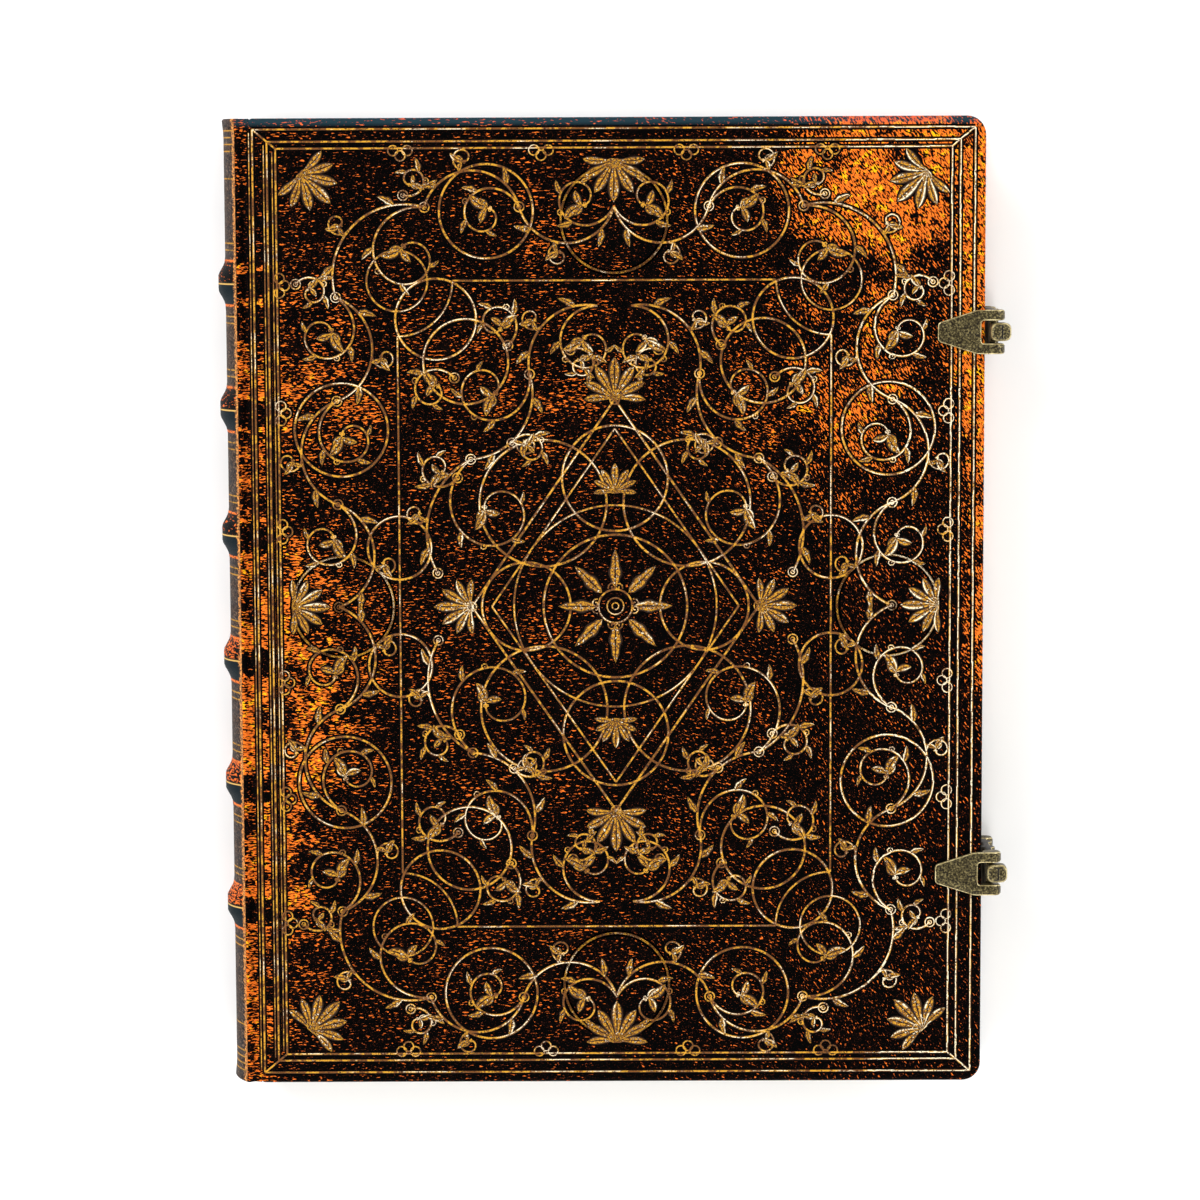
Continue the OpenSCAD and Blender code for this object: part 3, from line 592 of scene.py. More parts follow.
def make_joint(side):
    """The covering from the spine's shoulder through the groove to the cover's edge."""
    s, g = SHOULDER, GROOVE
    top = [(-0.35, s + 0.75), (-0.1, s + 0.22), (0.15, s - 0.1), (0.45, s - 0.18), (0.8, s - 0.05),
           (1.15, g - 0.38), (1.5, g - 0.12), (1.9, g), (2.3, g - 0.08), (2.7, g - 0.2),
           (3.1, g - 0.42), (3.45, g - 0.62)]
    section = top + [(x, d + SKIN_T) for x, d in reversed(top)]
    count = 60
    rows = [COVER_H * (i / count - 0.5) for i in range(count + 1)]
    half = COVER_H / 2 - 0.05
    rings = [[place(x, max(min(y, half), -half), d, side) for x, d in section] for y in rows]
    verts, faces = loft(rings)
    joint = outward(piece(side + "_joint", verts, faces, COVER_LEATHER))
    near, far = place(0.9, 0, g, side), place(2.9, 0, g, side)
    if side == "back":
        near, far = far, near
    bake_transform(joint)


# Tooling, drawn in millimetres over the middle of the field as in the part's source
def polar(c, r, a):
    return (c[0] + r * math.cos(a), c[1] + r * math.sin(a))


def arc_of(p, q, rise):
    """The arc from p to q that rises to its left: centre, radius, start angle and turn."""
    half = math.dist(p, q) / 2
    r = (half * half + rise * rise) / (2 * abs(rise))
    out = ((p[1] - q[1]) / (2 * half), (q[0] - p[0]) / (2 * half))
    sign = 1 if rise > 0 else -1
    c = tuple((p[k] + q[k]) / 2 + out[k] * (rise - sign * r) for k in (0, 1))
    a = math.atan2(p[1] - c[1], p[0] - c[0])
    return (c[0], c[1], r, a, -sign * 2 * math.asin(min(1, half / r)))


def coil_of(arc, share):
    """The spiral inside an arc, from the arc's start: centre, radius, start angle and turn."""
    p = polar(arc, arc[2], arc[3])
    m = tuple(p[k] + (arc[k] - p[k]) * share for k in (0, 1))
    return (m[0], m[1], share * arc[2], arc[3], math.copysign(COIL_TURN, arc[4]))


def coil_points(s, end, step=0.8):
    """Points along a spiral whose radius shrinks to a share of itself, or along an arc."""
    length = abs(s[4]) * s[2] * (1 + end) / 2
    n = max(4, int(length / step))
    return [polar(s, s[2] * end ** (i / n), s[3] + s[4] * i / n) for i in range(n + 1)]


def coil_at(s, k, end=1.0):
    """The point a share k along a spiral."""
    return polar(s, s[2] * end**k, s[3] + s[4] * k)


class Drawing:
    """Lines and leaves of a cover's tooling."""

    def __init__(self):
        self.lines = []
        self.leaves = []

    def line(self, points, w0=LINE_W, w1=None):
        self.lines.append((points, w0, w0 if w1 is None else w1))

    def leaf(self, p, a, long, wide, bend=0.0, full=0.7):
        """A leaf; above 1, full moves its widest place towards the tip, as in a lobe."""
        self.leaves.append((p, a, long, wide, bend, full))

    def ring(self, c, r, w=LINE_W):
        n = max(12, int(2 * math.pi * r / 0.8))
        self.line([polar(c, r, 2 * math.pi * i / n) for i in range(n + 1)], w)

    def straight(self, p, q, w=LINE_W):
        n = max(2, int(math.dist(p, q) / 4.0))
        self.line([(p[0] + (q[0] - p[0]) * i / n, p[1] + (q[1] - p[1]) * i / n)
                   for i in range(n + 1)], w)

    def loop(self, points, w=LINE_W):
        for p, q in zip(points, points[1:] + points[:1]):
            self.straight(p, q, w)

    def volute(self, p, a, r, side, w=0.42):
        """A small curl that leaves p along a and winds to one side."""
        c = polar(p, r, a + side * math.pi / 2)
        self.line(coil_points((c[0], c[1], r, a - side * math.pi / 2, side * 7.2), 0.22, 0.5), w)

    def bud(self, p, a, size, side=1):
        """A curled leaf with a smaller one and a volute beside it."""
        self.leaf(p, a, size, 0.5 * size, -0.42 * side, 1.1)
        self.leaf(p, a + 0.95 * side, 0.72 * size, 0.4 * size, 0.5 * side, 1.2)
        self.leaf(p, a - 1.0 * side, 0.55 * size, 0.3 * size, 0.4 * side, 1.0)
        for turn in (-2.0, 2.0):
            self.volute(p, a + turn, 0.15 * size, math.copysign(1, turn), 0.36)

    def palmette(self, p, a, size):
        """Round-ended lobes in a fan over two volutes."""
        for k in (-3, -2, -1, 0, 1, 2, 3):
            long = size * (1 - 0.1 * abs(k))
            self.leaf(p, a + 0.44 * k, long, 0.29 * long, 0.09 * k, 1.75)
        for side in (-1, 1):
            self.volute(p, a + 2.1 * side, 0.17 * size, -side)

    def knot(self, p, r=1.15):
        self.ring(p, r, 0.42)
        self.ring(p, 0.4 * r, 0.36)

    def trefoil(self, p, a):
        """Three small loops that stand on a frame line."""
        for turn in (-1.25, 0.0, 1.25):
            self.ring(polar(p, 1.75, a + turn), 1.2, 0.42)


def scroll(draw, coil, end=0.24, size=4.8):
    """A coil that ends in a bud, with small growth on its outside."""
    side = math.copysign(1, coil[4])
    draw.line(coil_points(coil, end), VINE_W, 0.8 * VINE_W)
    draw.bud(coil_at(coil, 1, end), coil[3] + coil[4] + side * math.pi / 2, size, side)
    for k, long in ((0.22, 3.6), (0.42, 3.2), (0.62, 2.6)):
        a = coil[3] + coil[4] * k + side * math.radians(42)
        draw.leaf(coil_at(coil, k, end), a, long, 0.5 * long, 0.3 * side)
    p = coil_at(coil, 0.32, end)
    draw.volute(p, coil[3] + coil[4] * 0.32 + side * 0.5, 1.0, -side, 0.38)


def quarter(draw):
    """A quarter of the cover: two vines, a corner palmette and the panel line between them."""
    vine_u, vine_v, turn = FIELD_U - VINE_INSET, FIELD_V - VINE_INSET, 21.0
    outer = [(0, vine_v), ((vine_u - turn) / 2, vine_v), (vine_u - turn, vine_v),
             (vine_u, vine_v - turn), (vine_u, (vine_v - turn) * 2 / 3),
             (vine_u, (vine_v - turn) / 3), (vine_u, 0)]
    rises = [-VINE_RISE, VINE_RISE, 0.42 * turn, -VINE_RISE, VINE_RISE, -VINE_RISE]
    lu, lv = 3.4 * CENTRE_R, 4.9 * CENTRE_R
    inner = [(4, lv + 22), (20, lv + 6), (34, lv - 14), (lu + 8, 8)]
    inner_rises = [0.7 * VINE_RISE, -0.7 * VINE_RISE, 0.7 * VINE_RISE]
    for points, heights, share in ((outer, rises, 0.72), (inner, inner_rises, 0.7)):
        for i, rise in enumerate(heights):
            arc = arc_of(points[i], points[i + 1], rise)
            side = math.copysign(1, arc[4])
            draw.line(coil_points(arc, 1.0), VINE_W)
            scroll(draw, coil_of(arc, share))
            out = arc[3] + arc[4] * 0.55
            stem = (*polar(arc, arc[2] + 3.2, out), 3.2, out + math.pi, -side * 6.6)
            draw.line(coil_points(stem, 0.3), 0.5)
            draw.bud(coil_at(stem, 1, 0.3), stem[3] + stem[4] - side * math.pi / 2, 3.2, side)
            for k in (0.2, 0.8):
                a = arc[3] + arc[4] * k + side * math.radians(40)
                draw.leaf(coil_at(arc, k), a, 4.2, 2.0, 0.25 * side)
            draw.knot(points[i + 1] if i + 1 < len(points) else points[i])
    draw.palmette((FIELD_U - 6, FIELD_V - 6), math.radians(225), CENTRE_R)
    draw.straight((0, PANEL_V), (PANEL_U - PANEL_R, PANEL_V))
    draw.straight((PANEL_U, 0), (PANEL_U, PANEL_V - PANEL_R))
    draw.line(coil_points((PANEL_U, PANEL_V, PANEL_R, math.pi, math.pi / 2), 1.0))
    draw.ring((PANEL_U, PANEL_V), 0.55 * PANEL_R)
    fillers(draw)


def fillers(draw):
    """Smaller scrolls, rings and loops between the main forms of a quarter."""
    for u, v, r, start, side in ((43, 51, 6.2, 2.6, -1), (42, 33, 5.4, 3.6, 1),
                                 (20, 37, 4.6, 0.4, 1), (28, 67, 6.0, 4.2, -1),
                                 (8, 57, 4.4, 1.0, 1), (FIELD_U - 8.5, FIELD_V - 34, 4.4, 0.5, 1),
                                 (FIELD_U - 32, FIELD_V - 7.5, 4.2, 5.2, -1)):
        scroll(draw, (u, v, r, start, side * 6.8), 0.3, 0.7 * r)
        draw.knot(polar((u, v), r, start))
    for u, v, r in ((17, 24.5, 15.0), (PANEL_U - 9, PANEL_V - 9, 9.5), (FIELD_U - 15, 0, 12.0),
                    (FIELD_U - 15, 42, 11.0), (30, FIELD_V - 15, 11.0), (0, FIELD_V - 17, 12.5),
                    (35, 58, 10.0), (PANEL_U, 14, 7.5)):
        draw.ring((u, v), r, VINE_W)
    for v in (18, 46, 76):
        draw.trefoil((FIELD_U - LINE_W / 2, v), math.pi)
    for u in (17, 50):
        draw.trefoil((u, FIELD_V - LINE_W / 2), -math.pi / 2)


def mirrored(draw):
    """The quarter four times over."""
    part = Drawing()
    quarter(part)
    for su in (1, -1):
        for sv in (1, -1):
            for points, w0, w1 in part.lines:
                draw.line([(su * x, sv * y) for x, y in points], w0, w1)
            for p, a, long, wide, bend, full in part.leaves:
                turned = math.atan2(sv * math.sin(a), su * math.cos(a))
                draw.leaf((su * p[0], sv * p[1]), turned, long, wide, su * sv * bend, full)


def centrepiece(draw):
    """The star in its rings and lozenge, with palmettes at its points and on the axes."""
    c = CENTRE_R
    lu, lv = 3.4 * c, 4.9 * c
    draw.ring((0, 0), 1.7 * c, VINE_W)
    draw.ring((0, 0), 2.4 * c)
    draw.ring((0, 0), 0.4 * c)
    draw.knot((0, 0), 2.0)
    for i in range(8):
        a = math.radians(45 * i)
        draw.leaf(polar((0, 0), 0.45 * c, a), a, 0.9 * c, 0.34 * c)
        draw.volute(polar((0, 0), 0.45 * c, a + 0.39), a + 0.39, 1.2, 1 if i % 2 else -1)
    draw.loop([(lu, 0), (0, lv), (-lu, 0), (0, -lv)], VINE_W)
    draw.loop([(0.86 * lu, 0), (0, 0.86 * lv), (-0.86 * lu, 0), (0, -0.86 * lv)])
    for s in (-1, 1):
        draw.ring((0, s * 0.62 * lv), 1.25 * c, VINE_W)
        draw.ring((s * 0.62 * lu, 0), 1.05 * c, VINE_W)
        draw.palmette((0, s * 0.55 * lv), s * math.pi / 2, 7.0)
        draw.palmette((0, s * lv), s * math.pi / 2, c)
        draw.palmette((s * lu, 0), 0 if s > 0 else math.pi, 0.9 * c)
        draw.palmette((0, s * (FIELD_V - 3)), -s * math.pi / 2, c)
        draw.palmette((s * (FIELD_U - 3), 0), math.pi if s > 0 else 0, 0.9 * c)
        draw.knot((0, s * lv))
        draw.knot((s * lu, 0))


def frames(draw):
    """Three lines round the cover, mitred at the corners; beside the spine they are double."""
    corners = []
    for side_step, end_step in zip(SIDE_STEPS, END_STEPS):
        x0 = JOINT_W + FRAME_SPINE_INSET + side_step + LINE_W / 2 - FIELD_X
        x1 = COVER_W - FRAME_INSET - side_step - LINE_W / 2 - FIELD_X
        h = COVER_H / 2 - FRAME_INSET - end_step - LINE_W / 2
        corners.append([(x1, h), (x0, h), (x0, -h), (x1, -h)])
        draw.loop(corners[-1])
        beside, end = x0 - COMPANION_GAP, h - COMPANION_GAP
        draw.straight((beside, end), (beside, -end), COMPANION_W)
    for p, q in zip(corners[0], corners[-1]):
        draw.straight(p, q)


# Cross-sections of the relief: place across the line, height in millimetres
RIDGE = [(-1.0, 0.02), (-0.5, 0.075), (0.0, 0.095), (0.5, 0.075), (1.0, 0.02)]
LEAF = [(-1.0, 0.02), (-0.7, 0.09), (-0.35, 0.06), (0.0, 0.1), (0.35, 0.06), (0.7, 0.09),
        (1.0, 0.02)]
CHANNEL = [(-1.0, 0.006), (1.0, 0.006)]


def ribbon(mesh, points, widths, section, lift, side):
    """Adds a strip along points to a mesh's lists; a width and the section set its profile."""
    verts, faces, across = mesh
    closed = math.dist(points[0], points[-1]) < 1e-6
    last = len(points) - 1
    for i, (x, y) in enumerate(points):
        a = points[i - 1 if i else (last - 1 if closed else 0)]
        b = points[i + 1 if i < last else (1 if closed else last)]
        d = math.dist(a, b) or 1
        nx, ny = (a[1] - b[1]) / d, (b[0] - a[0]) / d
        for k, z in section:
            w = k * widths[i] / 2
            verts.append(place(FIELD_X + x + nx * w, y + ny * w, -z - lift, side))
            across.append(k)
        if i:
            n = len(section)
            row = len(verts) - n
            for j in range(row, row + n - 1):
                faces.append((j - n, j - n + 1, j + 1, j))


def relief(name, mesh, looks, side, face_looks=None):
    """An object of strips that rides on a cover; "across" runs from -1 to 1 over each strip."""
    verts, faces, across = mesh
    obj = piece(name, verts, faces, looks, face_looks)
    mark = obj.data.attributes.new("across", "FLOAT", "POINT")
    mark.data.foreach_set("value", across)
    if side == "back":
        obj.data.flip_normals()
    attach(obj, side + "_cover")
    return obj


def make_tooling(side, draw):
    """The gold foil of a drawing, and the pressed channels that it lies in, dark with painted shade.
    """
    foil = ([], [], [])
    channel = ([], [], [])
    for index, (points, w0, w1) in enumerate(draw.lines):
        last = len(points) - 1
        lift = LIFT * (index % 7)
        widths = [w0 + (w1 - w0) * i / last for i in range(last + 1)]
        ribbon(foil, points, widths, RIDGE, lift, side)
        ribbon(channel, points, [w + LINE_MARGIN for w in widths], CHANNEL, 0.3 * lift, side)
    line_faces = len(foil[1])
    for index, (p, a, long, wide, bend, full) in enumerate(draw.leaves):
        count = 9
        points, widths = [], []
        for i in range(count + 1):
            k = i / count
            off = bend * long * k * k
            lx, ly = long * k * math.cos(a), long * k * math.sin(a)
            points.append((p[0] + lx - off * math.sin(a), p[1] + ly + off * math.cos(a)))
            lobes = 0.86 + 0.14 * math.cos(5 * math.pi * k) if full < 1 else 1.0
            widths.append(wide * lobes * math.sin(math.pi * k**full) ** 0.8 + 0.1)
        ribbon(foil, points, widths, LEAF, 0.02 + LIFT * (index % 5), side)
        ribbon(channel, points, [w + LEAF_MARGIN for w in widths], CHANNEL, 0.004, side)
    face_looks = [0] * line_faces + [1] * (len(foil[1]) - line_faces)
    tooling = relief(side + "_gold", foil, (GOLD_LINES, GOLD_LEAVES), side, face_looks)
    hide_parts(side + "_tooling")
    relief(side + "_channels", channel, PRESSED_SHADE, side)


# Pages, headbands
def make_pages():
    """The pages as thin steps, each a little longer or shorter than the next."""
    layers, per_side = 73, 8
    rings = []
    for i in range(layers):
        out = rng.uniform(-0.05, 0.05)
        tall = rng.uniform(-0.05, 0.03)
        for edge in (0, 1):
            z = BLOCK_T * ((i + edge) / layers - 0.5)
            z = max(min(z, BLOCK_T / 2), -BLOCK_T / 2)
            back = SPINE_X - math.sqrt(BLOCK_R**2 - z * z)
            x0, x1 = back, back + LEAF_W + out
            h = BLOCK_H / 2 + tall
            ring = []
            corners = [(x0, -h), (x1, -h), (x1, h), (x0, h)]
            for a, b in zip(corners, corners[1:] + corners[:1]):
                for k in range(per_side):
                    share = k / per_side
                    ring.append((a[0] + (b[0] - a[0]) * share, a[1] + (b[1] - a[1]) * share))
            rings.append([(x - CENTRE_X, y, MID_Z + z) for x, y in ring])
    verts, faces = loft(rings)
    pages = outward(piece("pages", verts, faces, PAGE_EDGE, smooth=False))
    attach(pages, "text_block")
    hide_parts("text_block")


def make_headband(end):
    """A row of two-coloured thread turns over the pages' end, with its cloth behind them."""
    side = 1 if end == "head" else -1
    stripes, per = 19, 4
    round_steps, cloth_steps = 14, 24
    top = math.asin((BLOCK_T / 2 - 0.4 - BEAD_R * 0.3) / BLOCK_R)
    middle = LINING_R - BEAD_R
    rings, mats = [], []
    n = stripes * per
    for i in range(n + 1):
        a = -top + 2 * top * i / n
        r = BEAD_R * (0.86 + 0.14 * abs(math.sin(math.pi * i / per)))
        ring = []
        for j in range(round_steps):
            t = 2 * math.pi * j / round_steps
            radius = middle + r * math.cos(t)
            ring.append((SPINE_X - radius * math.cos(a) - CENTRE_X,
                         side * (BLOCK_H / 2 + BEAD_R + 0.02 + r * math.sin(t)),
                         MID_Z + radius * math.sin(a)))
        rings.append(ring)
    verts, faces = loft(rings)
    for i in range(n):
        mats += [(i // per) % 2] * round_steps
    mats += [0, 0]
    count = len(verts)
    strip = []
    for i in range(cloth_steps + 1):
        a = -top + 2 * top * i / cloth_steps
        for r in (BLOCK_R + 0.02, LINING_R):
            for y in (BLOCK_H / 2 + 0.6, BLOCK_H / 2 + BEAD_R - HEADBAND_TAIL):
                strip.append((SPINE_X - r * math.cos(a) - CENTRE_X, side * y,
                              MID_Z + r * math.sin(a)))
    for i in range(cloth_steps):
        b = count + 4 * i
        for p, q in ((0, 1), (1, 3), (3, 2), (2, 0)):
            faces.append((b + p, b + q, b + 4 + q, b + 4 + p))
            mats.append(1)
    for b in (count, count + 4 * cloth_steps):
        faces.append((b, b + 1, b + 3, b + 2))
        mats.append(1)
    band = outward(piece(end + "band_threads", verts + strip, faces, [THREAD_A, THREAD_B], mats))
    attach(band, "text_block")
    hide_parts(end + "_band")


# Clasps
def prism(name, outline, axis, low, high):
    """An outline extruded along y or z, as an object to cut or join."""
    def point(p, t):
        return (p[0], t, p[1]) if axis == "y" else (p[0], p[1], t)
    verts, faces = loft([[point(p, t) for p in outline] for t in (low, high)])
    return outward(piece(name, verts, faces, BRASS))


def combine(a, b, operation):
    mod = a.modifiers.new("combine", "BOOLEAN")
    mod.operation = operation
    mod.object = b
    mod.solver = "EXACT"
    apply_all(a)
    bpy.data.objects.remove(b)
    return a


def apply_all(obj):
    mesh = bpy.data.meshes.new_from_object(
        obj.evaluated_get(bpy.context.evaluated_depsgraph_get()))
    obj.modifiers.clear()
    obj.data = mesh


def soften(obj, width):
    """Rounds the sharp edges and gives the roundings the rubbed look, a painted highlight along
    them.
    """
    bm = bmesh.new()
    bm.from_mesh(obj.data)
    bmesh.ops.remove_doubles(bm, verts=bm.verts, dist=0.04 * MM)
    bmesh.ops.dissolve_degenerate(bm, edges=bm.edges, dist=0.02 * MM)
    bm.to_mesh(obj.data)
    bm.free()
    obj.data.materials.append(RUBBED_HIGHLIGHT_BRASS)
    mod = obj.modifiers.new("soften", "BEVEL")
    mod.width = width * MM
    mod.segments = 3
    mod.limit_method = "ANGLE"
    mod.angle_limit = math.radians(40)
    mod.use_clamp_overlap = False
    mod.material = len(obj.data.materials) - 1
    apply_all(obj)
    obj.data.polygons.foreach_set("use_smooth", [True] * len(obj.data.polygons))
    obj.data.set_sharp_from_angle(angle=math.radians(50))
    keep_rest(obj)
    return obj


def rounded(corners, radius, n=5):
    """A closed outline with its corners rounded."""
    points = []
    for i, corner in enumerate(corners):
        before = Vector(corners[i - 1]) - Vector(corner)
        after = Vector(corners[(i + 1) % len(corners)]) - Vector(corner)
        reach = min(radius, 0.45 * before.length, 0.45 * after.length)
        start = Vector(corner) + before.normalized() * reach
        end = Vector(corner) + after.normalized() * reach
        for k in range(n + 1):
            t = k / n
            mid = start.lerp(Vector(corner), t).lerp(Vector(corner).lerp(end, t), t)
            points.append((mid.x, mid.y))
    return points


def make_knob(x0, x1, half, low, high):
    """The finger knob: one domed block with round corners."""
    dome, corner = 1.0, 1.7
    rings = []
    steps = [(0.25, low), (0.0, low + 0.3), (0.0, high - dome)]
    steps += [(1.1 * dome * (1 - math.cos(a)), high - dome * (1 - math.sin(a)))
              for a in (math.radians(15 * k) for k in range(1, 7))]
    for inset, z in steps:
        outline = rounded([(x0 + inset, inset - half), (x1 - inset, inset - half),
                           (x1 - inset, half - inset), (x0 + inset, half - inset)], corner, 8)
        rings.append([(x, y, z) for x, y in outline])
    verts, faces = loft(rings)
    return outward(piece("knob", verts, faces, BRASS))


def arc(cx, cy, r, start, end, n=10):
    """Points of a circle's arc between two angles in degrees."""
    return [(cx + r * math.cos(math.radians(start + (end - start) * i / n)),
             cy + r * math.sin(math.radians(start + (end - start) * i / n))) for i in range(n + 1)]


def make_plate(name, y0, side):
    """A fork plate; heights are drawn over the cover's outer face, and the back's is turned."""
    side_view = [(COVER_W - PLATE_LEN, PLATE_T)]
    side_view += arc(KNUCKLE_X, PLATE_T - KNUCKLE_R, KNUCKLE_R, 90, -180, 27)
    side_view += [(KNUCKLE_X - KNUCKLE_R, 0), (COVER_W - PLATE_LEN, 0)]
    shoulder = COVER_W - 1.9
    tip = KNUCKLE_X + KNUCKLE_R - 0.05
    slot = COVER_W - SLOT_BACK
    half, nose, gap = CLASP_W / 2, PLATE_NOSE / 2, SLOT_W / 2
    plan = rounded([(COVER_W - PLATE_LEN, -nose), (shoulder, -half), (tip, -half), (tip, -gap),
                    (slot, -gap), (slot, gap), (tip, gap), (tip, half), (shoulder, half),
                    (COVER_W - PLATE_LEN, nose)], PLATE_CORNER)
    body = prism(name, side_view, "y", -CLASP_W, CLASP_W)
    body = combine(body, prism("plan", plan, "z", -2 * KNUCKLE_R, KNUCKLE_R), "INTERSECT")
    body = soften(body, 0.24)
    for v in body.data.vertices:
        x, y, z = (c / MM for c in v.co)
        v.co = [c * MM for c in place(x, y + y0, -z, side)]
    keep_rest(body)
    outward(body)
    return body


def make_arm(name, y0):
    """The swinging arm: knuckle, beaded strap, neck and finger knob."""
    low = BACK_Z + KNUCKLE_R - PLATE_T
    high = FRONT_Z - KNUCKLE_R + PLATE_T
    strap_low = low + KNUCKLE_R + 0.4
    strap_high = high - KNUCKLE_R - 0.4
    mid = (strap_low + strap_high) / 2
    half = ARM_T / 2
    neck = SLOT_W / 2 - ARM_PLAY
    right = [(ARM_X + half, strap_low)]
    left = [(ARM_X - half, strap_low)]
    for s in (-1, 1):
        z = mid + s * BEAD_PITCH / 2
        reach = math.degrees(math.acos(half / BEAD_ARM_R))
        right += arc(ARM_X, z, BEAD_ARM_R, -reach, reach, 10)
        left += arc(ARM_X, z, BEAD_ARM_R, 180 + reach, 180 - reach, 10)
    strap = right + [(ARM_X + half, strap_high), (ARM_X - half, strap_high)] + left[:0:-1] + left[:1]
    body = prism(name, strap, "y", -CLASP_W / 2, CLASP_W / 2)
    neck_side = arc(KNUCKLE_X, low, KNUCKLE_R, 40, -225, 24)
    neck_side += [(ARM_X - half, low + 2.2), (ARM_X - half, high - 1.4),
                  (ARM_X + half, high - 1.4), (ARM_X + half, low + 2.2)]
    body = combine(body, prism("neck", neck_side, "y", -neck, neck), "UNION")
    rim = FRONT_Z + PLATE_T + 0.4
    knob = make_knob(COVER_W + 1.2, COVER_W + LIP_REACH, neck - 0.3, high - 1.5, rim)
    body = soften(combine(body, knob, "UNION"), 0.22)
    crease_x = COVER_W + 0.55 * LIP_REACH + 0.55
    groove = [(crease_x - 0.2, rim + 0.1), (crease_x, rim - 0.5), (crease_x + 0.2, rim + 0.1)]
    body = combine(body, prism("crease", groove, "y", -0.6 * neck, 0.6 * neck), "DIFFERENCE")
    # Painted shade: the crease and the arm's inner faces in the slot take the near-black brass
    body.data.materials.append(SHADE_BRASS)
    for face in body.data.polygons:
        x, y, z = (c / MM for c in face.center)
        crease = abs(x - crease_x) < 0.18 and z > rim - 0.5 and abs(y) < 0.75 * neck
        if crease or (x < ARM_X + 0.2 and strap_low < z < high - 1.5):
            face.material_index = len(body.data.materials) - 1
        # A painted highlight rim: the knob's sloped faces near its top take the rubbed brass
        elif z > rim - 1.1 and 0.2 < face.normal.z < 0.8:
            face.material_index = len(body.data.materials) - 2
    for v in body.data.vertices:
        v.co.x -= CENTRE_X * MM
        v.co.y += y0 * MM
    keep_rest(body)
    return body


def make_pin(name, y0):
    """The hinge pin, with its ends just outside the knuckles."""
    rings = []
    for y, r in ((-CLASP_W / 2 - 0.12, 0.55), (-CLASP_W / 2 - 0.1, PIN_R), (0, PIN_R),
                 (CLASP_W / 2 + 0.1, PIN_R), (CLASP_W / 2 + 0.12, 0.55)):
        rings.append([(KNUCKLE_X - CENTRE_X + r * math.cos(a), y0 + y,
                       BACK_Z + KNUCKLE_R - PLATE_T + r * math.sin(a))
                      for a in (2 * math.pi * i / 24 for i in range(24))])
    verts, faces = loft(rings)
    return outward(piece(name, verts, faces, BRASS, smooth=False))


def make_clasps():
    for end, y0 in (("upper", CLASP_PITCH / 2), ("lower", -CLASP_PITCH / 2)):
        for word, side in (("catch", "front"), ("hinge", "back")):
            plate = make_plate(f"{end}_{word}", y0, side)
            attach(plate, side + "_cover")
            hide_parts(f"{end}_{word}_plate")
        arm = make_arm(end + "_arm_metal", y0)
        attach(arm, end + "_arm")
        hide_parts(end + "_clasp_arm")
        pin = make_pin(end + "_pin_metal", y0)
        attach(pin, "back_cover")
        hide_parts(end + "_hinge_pin")


for cover_side in ("front", "back"):
    make_cover(cover_side)
    make_joint(cover_side)
    art = Drawing()
    frames(art)
    centrepiece(art)
    mirrored(art)
    make_tooling(cover_side, art)
make_spine()
make_pages()
make_headband("head")
make_headband("tail")
make_clasps()

# CAD nodes that stay in view
LOOKS = {"board": BOARD, "inlay": BOARD, "raised_band": BOARD, "pastedown": ENDPAPER,
         "flyleaf": ENDPAPER, "lining": GAUZE}
for node_name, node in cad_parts.items():
    for key, look in LOOKS.items():
        if key in node_name:
            node.data.materials.clear()
            node.data.materials.append(look)


# Floor, light and camera
def make_stage():
    mesh = bpy.data.meshes.new("floor")
    reach, level = 3.0, -0.0004
    corners = [(-reach, -reach), (reach, -reach), (reach, reach), (-reach, reach)]
    mesh.from_pydata([(x, y, level) for x, y in corners], [], [(0, 1, 2, 3)])
    floor = add("floor", mesh)
    n = Net("floor")
    mesh.materials.append(n.surface((0.93, 0.93, 0.93, 1.0), 0.9, 0.0, 0.1))


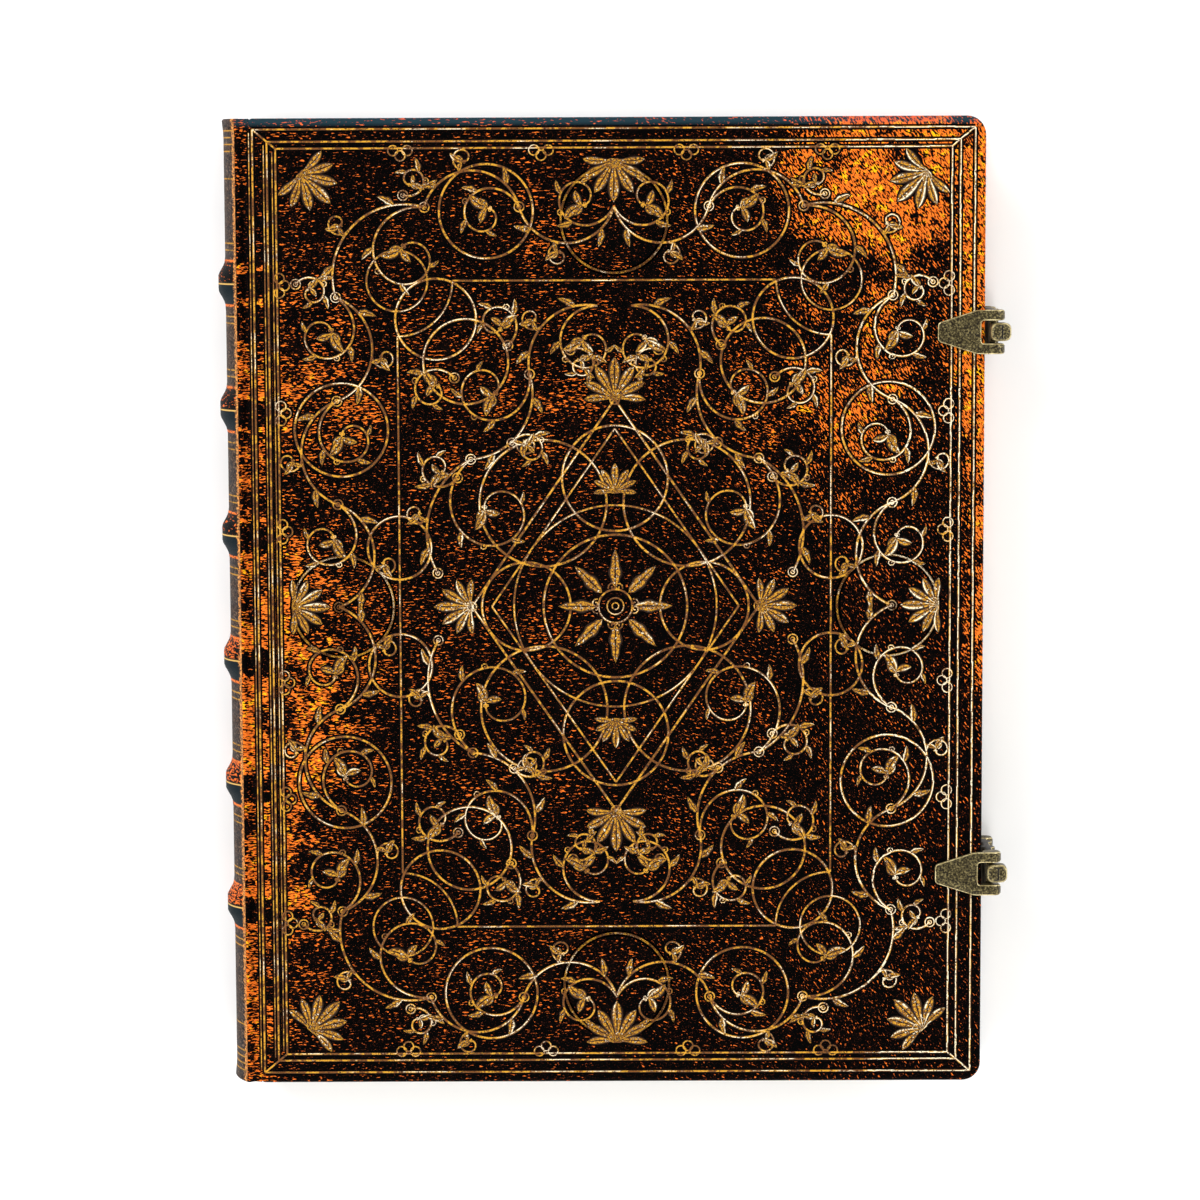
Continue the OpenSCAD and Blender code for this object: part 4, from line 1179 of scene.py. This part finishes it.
def area_light(x, y, z, size, power):
    data = bpy.data.lights.new("soft_light", "AREA")
    data.shape = "SQUARE"
    data.size = size
    data.energy = power
    light = add("soft_light", data)
    light.location = (x, y, z)
    light.rotation_euler = (-Vector((x, y, z))).to_track_quat("-Z", "Y").to_euler()


# Place, size in metres and power of each light
LIGHTS = [(-0.9, 0.9, 1.0, 0.8, 15.0), (1.1, 0.5, 0.9, 0.8, 10.0),
          (0.3, -1.2, 0.9, 0.9, 9.0), (-1.2, -0.4, 0.8, 0.8, 8.0)]

make_stage()
for light_values in LIGHTS:
    area_light(*light_values)

# A bright surround that is dimmer overhead, so that the black leather stays black
world = bpy.data.worlds.new("studio")
bpy.context.scene.world = world
world.use_nodes = True
wn = world.node_tree.nodes
background = wn["Background"]
coords = wn.new("ShaderNodeTexCoord")
parts = wn.new("ShaderNodeSeparateXYZ")
fade = wn.new("ShaderNodeMapRange")
fade.interpolation_type = "SMOOTHSTEP"
for key, value in (("From Min", 0.75), ("From Max", 1.0), ("To Min", 0.85), ("To Max", 0.12)):
    fade.inputs[key].default_value = value
world.node_tree.links.new(coords.outputs["Generated"], parts.inputs[0])
world.node_tree.links.new(parts.outputs[2], fade.inputs["Value"])
world.node_tree.links.new(fade.outputs[0], background.inputs["Strength"])
background.inputs["Color"].default_value = (1.0, 1.0, 1.0, 1.0)

# The photograph's view: focal length in its pixels, place in metres and turns in degrees
PICTURE_W, FOCAL = 1200, 3853
SENSOR_W = 36.0
CAMERA_PLACE = (-0.00018, 0.10262, 0.93015)
CAMERA_TURNS = ((-6.364, "X"), (0.186, "Y"), (-0.223, "Z"))
camera_data = bpy.data.cameras.new("camera")
camera_data.sensor_width = SENSOR_W
camera_data.lens = FOCAL / PICTURE_W * SENSOR_W
camera_data.clip_start = 0.01
camera = add("camera", camera_data)
view = Matrix.Translation(CAMERA_PLACE)
for degrees, axis in CAMERA_TURNS:
    view = view @ Matrix.Rotation(math.radians(degrees), 4, axis)
camera.matrix_world = view
bpy.context.scene.camera = camera
bpy.context.scene.view_settings.view_transform = "Standard"
